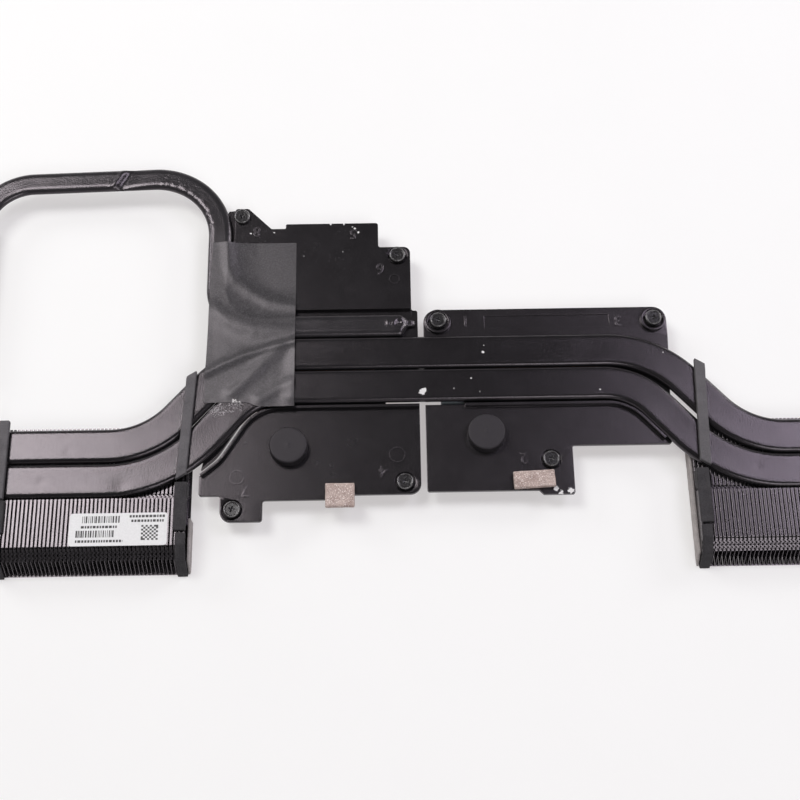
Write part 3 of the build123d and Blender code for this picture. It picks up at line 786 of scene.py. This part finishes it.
def fin_stack(name, node, count, seat, flat, turn_to):
    """Repeats a fin along its stack, with the small differences of hand assembly."""
    points, faces = solid_fin(seat, flat)
    chance = random.Random(7)
    all_points, all_faces = [], []
    for k in range(count):
        lean = chance.uniform(-0.03, 0.03)
        placed = points + np.array([k * FIN_PITCH + FIN_SHEET / 2 + lean, 0, chance.uniform(-0.02, 0.0)])
        first = len(all_points)
        all_points.extend(turn_to(*p) for p in placed)
        all_faces.extend(tuple(first + i for i in face) for face in faces)
    piece = add_mesh(name, all_points, all_faces)
    soften(piece, 40)
    return dress(piece, fin_paint, "fin_paint", node)


def rear_place(low, high):
    """How a rear fin's across, along and level lie in the frame."""
    return lambda across, along, level: (low.x + across, high.y - along, level)


rear_depth = (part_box("left_fins")[1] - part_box("left_fins")[0]).y / MM
rear_seat = rear_depth - REAR_FIN_FLAT - FIN_RUN - FIN_RAKE
print("depth of the pipes' seat in the fins", round(rear_seat, 2))
for side in ("left", "right"):
    place = rear_place(*(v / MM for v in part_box(side + "_fins")))
    fin_stack(side + "_fin_stack", side + "_fins", REAR_FIN_COUNT, rear_seat, REAR_FIN_FLAT, place)
side_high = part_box("side_fins")[1] / MM
fin_stack("side_fin_stack", "side_fins", SIDE_FIN_COUNT, SIDE_FIN_SEAT, SIDE_FIN_FLAT,
          lambda across, along, level: (side_high.x - along, side_high.y - across, level))

# %% [markdown]
# ## Captive screws
# Small blackened screws with a cross recess and a rim, with a painted highlight: a lighter ring of colour
# on the rim. A lathe would give the head, but not the cross, so the head's top is a round grid whose
# height is worked out point by point: a rim, a lowered middle and the cross. The thread is a helix made
# the same way.

# %% Screws
steel = Recipe("blackened_steel")
steel_clouds = steel.noise(0.8, detail=5.0)
steel_colour = steel.ramp(steel_clouds, (0.3, (0.04, 0.038, 0.04)), (0.75, (0.085, 0.082, 0.087)))
RIM_OUTSIDE = 2.62
RIM_INSIDE = 2.14
RIM_START = 2.22
RIM_FALL = 1.6
HEAD_SIDE = 2.6
HEAD_TOP = 2.36
HEAD_TALL = 1.3
DISH_RADIUS = 2.1
DISH_DEPTH = 0.34
CROSS_HALF = 0.26
CROSS_REACH = 0.95
CROSS_DEPTH = 0.6
SHANK_RADIUS = 1.5
SHANK_FOOT = 0.3
THREAD_PITCH = 0.4
THREAD_RADIUS = 0.93
THREAD_DEPTH = 0.07
THREAD_LENGTH = 3.6
THREAD_RINGS = 36
POINT_RING = 33
rim_spots = [(x, y, seat + 1.2) for x, y, seat, _ in cpu_screw_spots + gpu_screw_spots]
# A lighter ring of colour on each screw's rim is a painted highlight.
whole_head = steel.spots([(*spot, RIM_OUTSIDE) for spot in rim_spots], 0.1)
inside_rim = steel.spots([(*spot, RIM_INSIDE) for spot in rim_spots], 0.1)
rim_painted_highlight = steel.math("SUBTRACT", whole_head, inside_rim, clamp=True)
steel.set(Base_Color=steel.blend(rim_painted_highlight, steel_colour, (0.17, 0.165, 0.168)), Metallic=0.75,
          Roughness=steel.span(steel_clouds, 0.2, 0.32))
steel.bump(steel.noise(0.45, detail=3.0), 0.025, 0.5)


def head_height(r, turn):
    """Height of the head's skin above its seat."""
    dish = DISH_DEPTH / (1 + math.exp((r - DISH_RADIUS) / 0.05))
    height = HEAD_TALL - dish - RIM_FALL * max(0.0, r - RIM_START) ** 2
    x, y = abs(r * math.cos(turn)), abs(r * math.sin(turn))
    reach = max(min(CROSS_HALF - x, CROSS_REACH - y), min(CROSS_HALF - y, CROSS_REACH - x))
    if reach > 0:
        height -= CROSS_DEPTH * min(1.0, reach / 0.1) * (1 - 0.4 * r / CROSS_REACH)
    return height


def ring_of(points, count, radius_at, level_at):
    """Adds one ring of points, with its radius and level as functions of the turn."""
    for turn in circle_turns(count):
        r = radius_at(turn)
        points.append((r * math.cos(turn), r * math.sin(turn), level_at(r, turn)))


def thread_radius(level, turn):
    """A helix: the skin moves out and in once in each pitch."""
    return THREAD_RADIUS + THREAD_DEPTH * math.cos(2 * math.pi * level / THREAD_PITCH - turn)


def screw_points(seat, depth, foot):
    """A screw from its head down to the end of its thread, from rings of points."""
    count = 72
    points = []
    turn_in = 0.35
    for r in np.linspace(0.02, HEAD_TOP, 34):
        ring_of(points, count, lambda t, r=r: r, lambda r, t: seat + head_height(r, t + turn_in))
    side = [(2.48, 1.12), (2.56, 1.0), (HEAD_SIDE, 0.86), (HEAD_SIDE, -depth)]
    shank = [(SHANK_RADIUS, -depth), (SHANK_RADIUS, foot - seat)]
    for r, h in side + shank:
        ring_of(points, count, lambda t, r=r: r, lambda r, t, h=h: seat + h)
    for k in range(THREAD_RINGS + 1):
        level = foot - THREAD_LENGTH * k / THREAD_RINGS
        thin = 1.0 - 0.16 * max(0, k - POINT_RING)
        ring_of(points, count, lambda t: thin * thread_radius(level, t), lambda r, t: level)
    rings = len(points) // count
    faces = []
    for ring in range(rings - 1):
        here, after = ring * count, (ring + 1) * count
        faces += [(here + j, after + j, after + (j + 1) % count, here + (j + 1) % count)
                  for j in range(count)]
    faces.append(tuple(range(count - 1, -1, -1)))
    faces.append(tuple(range((rings - 1) * count, rings * count)))
    return points, [tuple(reversed(f)) for f in faces]


def screw_set(name, node, spots):
    """The screws of one plate, as one piece."""
    all_points, all_faces = [], []
    for x, y, seat, depth in spots:
        points, faces = screw_points(seat, depth, SHANK_FOOT)
        first = len(all_points)
        all_points.extend((x + a, y + b, c) for a, b, c in points)
        all_faces.extend(tuple(first + i for i in face) for face in faces)
    piece = add_mesh(name, all_points, all_faces)
    soften(piece, 45)
    return dress(piece, steel.material, "screw_steel", node)


screw_set("cpu_screw_set", "cpu_screws", cpu_screw_spots)
screw_set("gpu_screw_set", "gpu_screws", gpu_screw_spots)
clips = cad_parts["screw_clips"]
clips.data.materials.clear()
clips.data.materials.append(steel.material)

# %% [markdown]
# ## Foam
# Gaskets of black foam close the gap between the fins and the laptop's case. Foam has soft, slightly
# uneven corners and an open grain. A bevel would leave the faces flat, so a voxel remesh of the plain
# block rounds every corner, and a little noise moves the skin.


# %% Foam helper
def foam_copy(node, name, seed, voxel_mm, unrest_mm, dents=()):
    """A copy of a plain block with a rounded, uneven skin."""
    piece = copy_of(node, name)
    remesh = piece.modifiers.new("skin", "REMESH")
    remesh.mode = "VOXEL"
    remesh.voxel_size = voxel_mm * MM
    apply_modifiers(piece)
    shape = bmesh.new()
    shape.from_mesh(piece.data)
    for _ in range(2):
        bmesh.ops.smooth_vert(shape, verts=shape.verts, factor=0.5,
                              use_axis_x=True, use_axis_y=True, use_axis_z=True)
    shape.normal_update()
    for v in shape.verts:
        p = v.co / MM + Vector((seed * 7.3, 0, 0))
        amount = 0.6 * noise.noise(p / 2.6) + 0.4 * noise.noise(p / 0.8)
        v.co += v.normal * amount * unrest_mm * MM
        for x, y, radius, depth in dents:
            away = math.hypot(v.co.x / MM - x, v.co.y / MM - y)
            v.co.z -= depth * MM * max(0.0, v.normal.z) * math.exp(-((away / radius) ** 4))
    shape.to_mesh(piece.data)
    shape.free()
    piece.data.shade_smooth()
    return piece


def foam_finish(name, dark, light, speck=None, grain_mm=0.22, roughness=0.9):
    """Open grain between a dark and a light colour, with bright specks where cloth covers the foam."""
    recipe = Recipe(name)
    grain = recipe.noise(grain_mm, detail=4.0, roughness=0.7)
    clouds = recipe.noise(4.0, detail=3.0)
    mixed = recipe.math("ADD", recipe.math("MULTIPLY", grain, 0.7), recipe.math("MULTIPLY", clouds, 0.3))
    colour = recipe.ramp(mixed, (0.36, dark), (0.64, light))
    if speck:
        bright = recipe.math("GREATER_THAN", recipe.noise(0.3, detail=1.0), 0.64)
        colour = recipe.blend(bright, colour, speck)
    recipe.set(Base_Color=colour, Roughness=roughness, Specular_IOR_Level=0.3,
               Specular_Tint=(1.0, 0.9, 0.98, 1))
    recipe.bump(grain, 0.08, 0.7)
    return recipe.material


black_foam = foam_finish("black_foam", (0.018, 0.0176, 0.0185), (0.06, 0.058, 0.0615),
                         grain_mm=0.35, roughness=0.75)
bar_foam = foam_finish("bar_foam", (0.075, 0.072, 0.076), (0.14, 0.134, 0.141), grain_mm=0.4, roughness=0.6)
brown_foam = foam_finish("brown_foam", (0.27, 0.245, 0.24), (0.58, 0.54, 0.53))
cloth_foam = foam_finish("cloth_foam", (0.27, 0.195, 0.175), (0.66, 0.53, 0.485), speck=(0.9, 0.83, 0.8),
                         grain_mm=0.3)
print("foam finishes", [f.name for f in (black_foam, bar_foam, brown_foam, cloth_foam)])

# %% [markdown]
# ## Foam gaskets
# Each end of a rear stack has a bar over the pipes, a block on the fins and a strip down the front, and
# each inner end has a pale side pad. Each plate carries a pad of foam in conductive cloth. Loops make
# them from the construction's plain blocks, each with a seed of its own, so that no two are alike.

# %% Foam gaskets
bar_dents = [(-41.0, -12.2, 1.1, 0.22), (-41.6, -33.3, 1.0, 0.18)]
for seed, end in enumerate(("left_inner", "left_outer", "right_inner", "right_outer")):
    for part, finish in (("bar", bar_foam), ("block", black_foam), ("front", black_foam)):
        node = end + "_foam_" + part
        dents = bar_dents if part == "bar" else ()
        gasket = foam_copy(node, end + "_gasket_" + part, seed, voxel_mm=0.25, unrest_mm=0.06, dents=dents)
        dress(gasket, finish, "black_foam", node)
for seed, side in enumerate(("left", "right")):
    pad = foam_copy(side + "_side_foam", side + "_side_pad", seed + 5, voxel_mm=0.3, unrest_mm=0.1)
    dress(pad, brown_foam, "side_foam", side + "_side_foam")
for seed, plate in enumerate(("cpu", "gpu")):
    pad = foam_copy(plate + "_ground_foam", plate + "_ground_pad", seed + 9, voxel_mm=0.3, unrest_mm=0.12)
    dress(pad, cloth_foam, "ground_foam", plate + "_ground_foam")

# %% [markdown]
# ## Rubber bumpers
# Two round rubber discs keep the laptop's cover off the plates. Each is turned from a profile with a
# round edge and a small pip from its mould in the middle. A screw modifier could turn it, but rings of
# points do the same in a few lines.

# %% Bumpers
rubber = Recipe("bumper_rubber")
rubber_dust = rubber.noise(0.4, detail=5.0, roughness=0.7)
rubber.set(Base_Color=rubber.ramp(rubber_dust, (0.3, (0.009, 0.009, 0.0102)), (0.7, (0.017, 0.017, 0.0188))),
           Roughness=rubber.span(rubber_dust, 0.5, 0.62), Specular_Tint=(1.0, 0.9, 0.98, 1))
rubber.bump(rubber.noise(0.18, detail=3.0), 0.015, 0.5)


def bumper(name, node):
    """A disc turned from a profile of radius and height."""
    low, high = (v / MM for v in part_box(node))
    x, y = (low.x + high.x) / 2, (low.y + high.y) / 2
    radius = (high.x - low.x) / 2
    tall = high.z - low.z
    rim = 0.55
    turns = np.radians(np.linspace(0, 90, 7))
    edge = [(radius - 0.06 - rim + rim * math.cos(t), tall - rim + rim * math.sin(t)) for t in turns]
    crown = [(radius * share, tall - 0.03 * share) for share in (0.7, 0.5, 0.3, 0.12)]
    pip = [(0.5, tall + 0.02), (0.12, tall + 0.07)]
    profile = [(radius, 0.0), (radius, 0.12)] + edge + crown + pip
    count = 72
    around = circle_turns(count)
    points = [(x + r * math.cos(t), y + r * math.sin(t), low.z + h) for r, h in profile for t in around]
    faces = []
    for ring in range(len(profile) - 1):
        faces += band_faces(ring * count, (ring + 1) * count, count)
    faces.append(tuple(range(count - 1, -1, -1)))
    faces.append(tuple(range((len(profile) - 1) * count, len(profile) * count)))
    piece = add_mesh(name, points, faces)
    soften(piece, 50)
    return dress(piece, rubber.material, "bumper_rubber", node)


bumper("cpu_bumper_disc", "cpu_bumper")
bumper("gpu_bumper_disc", "gpu_bumper")

# %% [markdown]
# ## Cloth tape: what lies below
# A sheet of black acetate cloth is stuck over the pipes and the plate. To lay it, the height of what lies
# below is needed at every point of a fine grid: pipe, panel, plate or nothing. Rays could be cast on the
# meshes, but the pipes' routes are known, so the distance to a route gives the round top of its pipe
# directly.

# %% Height under the tape
TAPE_STEP = 0.5
tape_low, tape_high = (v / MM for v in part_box("pipe_tape"))


def grid_line(low, high):
    """Places from one edge of the tape to the other, about one step apart."""
    return np.arange(low, high + 1e-6, (high - low) / round((high - low) / TAPE_STEP))


tape_x = grid_line(tape_low.x, tape_high.x)
tape_y = grid_line(tape_low.y, tape_high.y)
grid_x, grid_y = np.meshgrid(tape_x, tape_y, indexing="ij")


def height_over(route, width):
    """Top of a pressed pipe over the tape's grid; far below where there is none."""
    near = np.full(grid_x.shape, 1e9)
    for x, y in route:
        near = np.minimum(near, (grid_x - x) ** 2 + (grid_y - y) ** 2)
    away = np.sqrt(near)
    round_side = PIPE_THICK / 2
    over = np.clip(away - (width / 2 - round_side), 0, round_side)
    top = PIPE_TOP - round_side + np.sqrt(round_side**2 - over**2)
    return np.where(away < width / 2, top, -9.0)


PLATE_LEFT = -31.0
PANEL_LEFT = -28.4
PANEL_FRONT = 21.2
on_panel = (grid_x > PANEL_LEFT) & (grid_y > PANEL_FRONT)
ground = np.where(on_panel, PANEL_TOP, np.where(grid_x > PLATE_LEFT, PLATE_TOP, -9.0))
for route, width in ((upper_route, PIPE_WIDTH), (lower_route, PIPE_WIDTH), (loop_route, LOOP_WIDTH)):
    ground = np.maximum(ground, height_over(route, width))
print("tape grid", grid_x.shape)

# %% [markdown]
# ## Cloth tape: a taut film
# A cloth simulation could lay the tape, but stuck tape is a taut film, and a simple relaxation gives the
# same film each time: each point takes the mean height of its neighbours, is pulled down a little by the
# glue, and never goes below what it lies on. Six folds are then raised along listed lines, and two
# edges are shifted, because such tape is cut by hand.

# %% Tape
GLUE = 0.05
GLUE_PULL = 0.0011
ROUNDS = 2500
TAPE_THICK = 0.1
EDGE_REACH = 9
SIDE_SLANT = 1.1
FRONT_STEP = 1.5
FRONT_STEP_X = -21
film = np.full(grid_x.shape, PIPE_TOP + 0.1)
for _ in range(ROUNDS):
    padded = np.pad(film, 1, mode="edge")
    mean = (padded[2:, 1:-1] + padded[:-2, 1:-1] + padded[1:-1, 2:] + padded[1:-1, :-2]) / 4
    film = np.maximum(ground + GLUE, mean - GLUE_PULL)

folds = [
    ([(-30.8, 45.5), (-29.6, 37.0), (-27.6, 31.8), (-22.5, 27.8), (-16.8, 24.2), (-8.0, 22.4)], 0.5, 2.3),
    ([(-36.4, 21.6), (-28.5, 17.2), (-21.0, 14.2), (-8.0, 13.2)], 0.45, 3.2),
    ([(-36.4, -0.9), (-30.0, 2.2), (-23.7, 5.0), (-15.0, 7.8), (-8.0, 9.6)], 0.6, 1.5),
    ([(-27.5, -8.5), (-22.5, -2.5), (-18.0, 2.5), (-12.5, 7.0)], 0.45, 2.3),
    ([(-19.0, -10.0), (-13.5, -6.5), (-9.0, -4.5)], 0.4, 2.0),
    ([(-7.4, 8.0), (-7.2, -2.0), (-8.6, -9.0)], 0.75, 2.8),
]


def distance_to(line):
    """Distance of every grid point to a line of points."""
    best = np.full(grid_x.shape, 1e9)
    for (x0, y0), (x1, y1) in zip(line, line[1:]):
        dx, dy = x1 - x0, y1 - y0
        t = np.clip(((grid_x - x0) * dx + (grid_y - y0) * dy) / (dx * dx + dy * dy), 0, 1)
        best = np.minimum(best, np.hypot(grid_x - x0 - t * dx, grid_y - y0 - t * dy))
    return best


for line, height, reach in folds:
    film += height * np.exp(-((distance_to(line) / reach) ** 2))


def wave(x, y):
    """The slow and the small unevenness of stuck cloth."""
    slow = 0.06 * noise.noise(Vector((x / 9, y / 9, 3)))
    return slow + 0.03 * noise.noise(Vector((x / 2.5, y / 2.5, 5)))


waves = np.array([[wave(x, y) for y in tape_y] for x in tape_x])
film = np.maximum(film + waves, ground + GLUE)
slack = (grid_y - tape_low.y) / (tape_high.y - tape_low.y)
left_edge = np.clip((tape_low.x + EDGE_REACH - grid_x) / EDGE_REACH, 0, 1)
front_edge = np.clip((tape_low.y + EDGE_REACH - grid_y) / EDGE_REACH, 0, 1)
shift_x = left_edge * SIDE_SLANT * slack
shift_y = front_edge * FRONT_STEP / (1 + np.exp((grid_x - FRONT_STEP_X) * 1.4))
ragged = np.array([[0.12 * noise.noise(Vector((x / 0.9, 8, 0))) for _ in tape_y] for x in tape_x])
tape_places = [grid_x + shift_x, grid_y + shift_y + front_edge**6 * ragged, film]
tape_points = np.stack(tape_places, axis=-1).reshape(-1, 3)
columns, rows = grid_x.shape
tape_faces = [(i * rows + j, (i + 1) * rows + j, (i + 1) * rows + j + 1, i * rows + j + 1)
              for i in range(columns - 1) for j in range(rows - 1)]
tape = add_mesh("tape_sheet", tape_points, tape_faces)
thick = tape.modifiers.new("cloth", "SOLIDIFY")
thick.thickness = TAPE_THICK * MM
thick.offset = 1
apply_modifiers(tape)
soften(tape, 60)
print("tape points", len(tape_points), "folds", len(folds))

# %% [markdown]
# ## Cloth tape: the cloth
# Acetate cloth has a fine weave and a dull sheen. Two crossed wave patterns make the weave and a fluffy
# noise breaks it up, so no picture of cloth is needed. The roughness follows the fluff, and the front
# edge is frayed pale at two spots.

# %% Tape cloth
WEAVE_SCALE = 1900.0
cloth = Recipe("tape_cloth")


def threads(direction):
    """Threads that run one way across the cloth."""
    inputs = {"Vector": cloth.place, "Scale": WEAVE_SCALE, "Distortion": 1.5, "Detail": 1.0}
    return cloth.node("ShaderNodeTexWave", inputs, bands_direction=direction).outputs["Fac"]


weave = cloth.math("MULTIPLY", threads("X"), threads("Y"))
fluff = cloth.noise(0.5, detail=4.0, roughness=0.8)
worn = cloth.spots([(-26.6, -10.6, PIPE_TOP, 0.8), (-25.4, -11.0, PIPE_TOP, 0.6)], 0.6)
shade = cloth.math("ADD", cloth.math("MULTIPLY", weave, 0.3), cloth.math("MULTIPLY", fluff, 0.7))
cloth_colour = cloth.ramp(shade, (0.36, (0.012, 0.0117, 0.0123)), (0.6, (0.105, 0.102, 0.107)))
frayed = cloth.math("MULTIPLY", worn, cloth.math("GREATER_THAN", fluff, 0.5))
cloth.set(Base_Color=cloth.blend(frayed, cloth_colour, (0.6, 0.58, 0.58)), IOR=1.62,
          Roughness=cloth.span(fluff, 0.32, 0.45), Specular_Tint=(1.0, 0.92, 0.99, 1))
cloth.bump(cloth.math("ADD", cloth.math("MULTIPLY", weave, 0.4), fluff), 0.035, 0.5)
dress(tape, cloth.material, "cloth_tape", "pipe_tape")
print("tape lies between", round(float(film.min()), 2), "and", round(float(film.max()), 2), "mm")

# %% [markdown]
# ## Sticker
# A white paper sticker with rounded corners lies on the left fins. It could be a copy of the
# construction's sheet, but drawing its outline here gives smooth corners and keeps the paper just clear
# of the fins.


# %% Sticker paper
def rounded_rectangle(x0, y0, x1, y1, radius, steps=6):
    """The outline of a sheet with round corners."""
    corners = [(x1 - radius, y1 - radius, 0), (x0 + radius, y1 - radius, 90),
               (x0 + radius, y0 + radius, 180), (x1 - radius, y0 + radius, 270)]
    line = []
    for cx, cy, start in corners:
        turns = [math.radians(start + 90 * k / steps) for k in range(steps + 1)]
        line += [(cx + radius * math.cos(t), cy + radius * math.sin(t)) for t in turns]
    return line


CORNER_RADIUS = 1.0
label_low, label_high = (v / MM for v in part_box("fin_label"))
rim = rounded_rectangle(label_low.x, label_low.y, label_high.x, label_high.y, CORNER_RADIUS)
count = len(rim)
label_points = [(x, y, z) for z in (label_low.z + 0.02, label_high.z) for x, y in rim]
label_faces = [tuple(range(count, 2 * count)), tuple(range(count - 1, -1, -1))]
label_faces += band_faces(0, count, count)
label = add_mesh("sticker", label_points, label_faces)
paper = Recipe("sticker_paper")
fibre = paper.noise(0.5, detail=5.0)
paper_colour = paper.ramp(fibre, (0.3, (0.78, 0.775, 0.785)), (0.7, (0.86, 0.855, 0.865)))
paper.set(Base_Color=paper_colour, Roughness=paper.span(fibre, 0.45, 0.6))
paper.bump(fibre, 0.008, 0.4)
dress(label, paper.material, "label_paper", "fin_label")

# %% [markdown]
# ## Sticker print
# The print is plain fields of ink: two rows of bars, four rows of dashes and a chequered square. It could
# be a pattern in the paper's colour, but thin solid forms keep sharp edges and stay in the exported mesh.
# The widths of bars and dashes come from a seeded chance, so they are the same each run.

# %% Sticker print
ink_boxes = []


def ink(u0, u1, v0, v1):
    """A printed field, as shares of the sticker's width from the left and height from the back."""
    wide, deep = label_high.x - label_low.x, label_high.y - label_low.y
    left, back = label_low.x, label_high.y
    ink_boxes.append((left + u0 * wide, left + u1 * wide, back - v1 * deep, back - v0 * deep))


DASH_TALL = 0.075
DASH_GAP = 0.009
CHEQUERS = 8
CHEQUER_LEFT, CHEQUER_BACK = 0.735, 0.38
CHEQUER_WIDE, CHEQUER_DEEP = 0.0215, 0.0575
chance = random.Random(3)
for u0, u1, v0, v1 in ((0.13, 0.51, 0.09, 0.30), (0.07, 0.47, 0.53, 0.74)):
    u = u0
    while u < u1:
        wide = chance.choice((0.006, 0.006, 0.011, 0.016))
        ink(u, min(u + wide, u1), v0, v1)
        u += wide + chance.choice((0.006, 0.009, 0.013))
for u0, u1, v in ((0.12, 0.49, 0.385), (0.07, 0.55, 0.82), (0.61, 0.97, 0.07), (0.63, 0.96, 0.21)):
    u = u0
    while u < u1:
        wide = chance.choice((0.016, 0.022, 0.022, 0.03))
        ink(u, min(u + wide, u1), v, v + DASH_TALL)
        u += wide + DASH_GAP
ends = (0, CHEQUERS - 1)
for row in range(CHEQUERS):
    for column in range(CHEQUERS):
        if (row + column) % 2 == 0 or row in ends and column in ends:
            u, v = CHEQUER_LEFT + column * CHEQUER_WIDE, CHEQUER_BACK + row * CHEQUER_DEEP
            ink(u, u + CHEQUER_WIDE, v, v + CHEQUER_DEEP)
ink_points, ink_faces = [], []
ink_levels = (label_high.z - 0.005, label_high.z + 0.012)
box_faces = ((4, 5, 6, 7), (3, 2, 1, 0), (0, 1, 5, 4), (1, 2, 6, 5), (2, 3, 7, 6), (3, 0, 4, 7))
for x0, x1, y0, y1 in ink_boxes:
    first = len(ink_points)
    corners = ((x0, y0), (x1, y0), (x1, y1), (x0, y1))
    ink_points += [(x, y, z) for z in ink_levels for x, y in corners]
    ink_faces += [tuple(first + i for i in face) for face in box_faces]
print_piece = add_mesh("sticker_print", ink_points, ink_faces)
printed = Recipe("printed_ink")
blot = printed.noise(0.25, detail=4.0)
ink_colour = printed.ramp(blot, (0.3, (0.03, 0.029, 0.03)), (0.75, (0.09, 0.087, 0.09)))
printed.set(Base_Color=ink_colour, Roughness=printed.span(blot, 0.5, 0.7))
dress(print_piece, printed.material, "label_paper")

# %% [markdown]
# ## The underside
# Below, each plate holds a milled copper block that touches a processor, and soft grey pads for the chips
# round it. The copper shows the fine parallel marks of its cutter, so its bump is noise that is stretched
# along one side.

# %% Copper and pads
copper = Recipe("milled_copper")
along = copper.node("ShaderNodeMapping", {"Vector": copper.place, "Scale": (1.0, 40.0, 1.0)}).outputs[0]
cutter = copper.noise(6.0, detail=4.0, where=along)
tarnish = copper.noise(5.0, detail=5.0)
copper_colour = copper.ramp(tarnish, (0.25, (0.55, 0.25, 0.15)), (0.75, (0.78, 0.42, 0.28)))
copper.set(Base_Color=copper_colour, Metallic=1.0, Roughness=copper.span(cutter, 0.24, 0.4))
copper.bump(cutter, 0.01, 0.6)
for plate in ("cpu", "gpu"):
    block = rounded_copy(plate + "_cold_plate", plate + "_copper_block", 0.1)
    dress(block, copper.material, "copper", plate + "_cold_plate")
pad_finish = foam_finish("thermal_pad", (0.26, 0.3, 0.33), (0.36, 0.4, 0.43), grain_mm=0.5, roughness=0.75)
for seed, node in enumerate(("cpu_power_pad", "gpu_memory_pads", "gpu_power_pad")):
    pad = foam_copy(node, node + "_soft", seed + 20, voxel_mm=0.4, unrest_mm=0.08)
    dress(pad, pad_finish, "thermal_pad", node)

# %% [markdown]
# ## Floor
# The module lies on plain white paper that sweeps up into a low wall all round, as in a studio. It could
# be a flat plane, but low views would then look past its edge. Rays from the camera, and rays that the
# object mirrors or passes on, see the paper brighter than the lamps alone make it; the soft light that
# the floor gives back to the object stays as it is.

# %% Floor
FLAT_REACH = 1600.0
SWEEP_RADIUS = 500.0
WALL_TOP = 900.0
ROUND_COUNT = 64
PAPER_GLOW = 0.43
floor_level = cad_low.z / MM
sweep_turns = np.radians(np.arange(0, 91, 10))
sweep_profile = [(FLAT_REACH + SWEEP_RADIUS * math.sin(t), SWEEP_RADIUS * (1 - math.cos(t)))
                 for t in sweep_turns]
sweep_profile.append((FLAT_REACH + SWEEP_RADIUS, WALL_TOP))
round_turns = circle_turns(ROUND_COUNT)
floor_points = [(r * math.cos(t), r * math.sin(t), floor_level + h)
                for r, h in sweep_profile for t in round_turns]
floor_faces = [tuple(range(ROUND_COUNT))]
for ring in range(len(sweep_profile) - 1):
    inner, outer = ring * ROUND_COUNT, (ring + 1) * ROUND_COUNT
    floor_faces += [(inner + k, outer + k, outer + (k + 1) % ROUND_COUNT, inner + (k + 1) % ROUND_COUNT)
                    for k in range(ROUND_COUNT)]
floor = add_mesh("floor", floor_points, floor_faces)
soften(floor)
white = Recipe("white_floor")
grain = white.noise(40.0, detail=2.0)
rays = white.node("ShaderNodeLightPath").outputs
mirrored = white.math("ADD", rays["Is Glossy Ray"], rays["Is Transmission Ray"])
seen_floor = white.math("ADD", rays["Is Camera Ray"], mirrored, clamp=True)
paper_white = white.ramp(grain, (0.2, (0.545, 0.561, 0.557)), (0.8, (0.555, 0.571, 0.567)))
floor_colour = white.blend(seen_floor, (0.86, 0.86, 0.86), paper_white)
white.set(Base_Color=floor_colour, Roughness=0.9, Specular_IOR_Level=0.1)
glow = white.math("MULTIPLY", seen_floor, PAPER_GLOW)
white.set(Emission_Color=(1.0, 0.95, 0.955, 1), Emission_Strength=glow)
floor.data.materials.append(white.material)
print("floor at", round(floor_level, 2), "mm, sweep up to", WALL_TOP, "mm")

# %% [markdown]
# ## Light
# Two soft boxes above and behind make the sheen on the outer ends of the pipes, a dim one in front lifts
# the plates, and two low ones shape the faint shadows. A picture of a room could light the scene, but a
# few lamps are easier to place: a flat pipe shows a lamp as sheen just where it mirrors it. The world
# adds a plain dim light from all sides.

# %% Light
world = bpy.data.worlds.new("studio")
scene.world = world
world.use_nodes = True
sky = world.node_tree.nodes["Background"]
sky.inputs["Color"].default_value = (1.0, 0.95, 0.97, 1)
sky.inputs["Strength"].default_value = 0.09


def soft_box(name, place, aim, size, watts, tint=(1, 1, 1)):
    """A rectangular lamp, turned towards the place that it aims at."""
    lamp = bpy.data.lights.new(name, "AREA")
    lamp.color = tint
    lamp.shape = "RECTANGLE"
    lamp.size, lamp.size_y = size
    lamp.energy = watts
    made = bpy.data.objects.new(name, lamp)
    scene.collection.objects.link(made)
    made.location = place
    made.rotation_euler = (Vector(aim) - Vector(place)).to_track_quat("-Z", "Y").to_euler()
    return made


soft_box("left_box", (-0.395, 0.29, 0.80), (-0.09, -0.02, 0.0), (0.34, 0.42), 4.1, (1.0, 0.995, 0.965))
soft_box("right_box", (0.53, 0.26, 0.80), (0.13, -0.02, 0.0), (0.36, 0.38), 2.1, (1.0, 0.95, 1.08))
soft_box("front_box", (0.36, -0.70, 0.84), (0.08, -0.03, 0.0), (0.60, 0.46), 3.0)
soft_box("left_low_box", (-0.62, 0.50, 0.36), (0.0, 0.0, 0.0), (0.30, 0.26), 1.4)
soft_box("right_low_box", (0.70, 0.46, 0.36), (0.08, 0.0, 0.0), (0.30, 0.26), 1.8)

# %% [markdown]
# ## Camera
# The camera looks down from the front, tilted 21.5 degrees from straight down. It could be placed by eye,
# but a focal length in picture pixels is what a fit to a picture gives, and it is turned here into a lens
# for a 36 mm sensor.

# %% Camera
SENSOR_MM = 36.0
PICTURE_PIXELS = 800
FOCAL_PIXELS = 1350
CAMERA_PLACE = (0.022487, -0.165520, 0.397520)
CAMERA_TILT = 21.5
CAMERA_TURN = -0.95
lens = bpy.data.cameras.new("photo_lens")
lens.sensor_width = SENSOR_MM
lens.lens = SENSOR_MM * FOCAL_PIXELS / PICTURE_PIXELS
lens.clip_start = 0.01
camera = bpy.data.objects.new("photo_camera", lens)
scene.collection.objects.link(camera)
camera.location = CAMERA_PLACE
camera.rotation_euler = (math.radians(CAMERA_TILT), 0, math.radians(CAMERA_TURN))
scene.camera = camera
scene.view_settings.view_transform = "Standard"
print("lens", round(lens.lens, 2), "mm, tilt", CAMERA_TILT, "degrees")
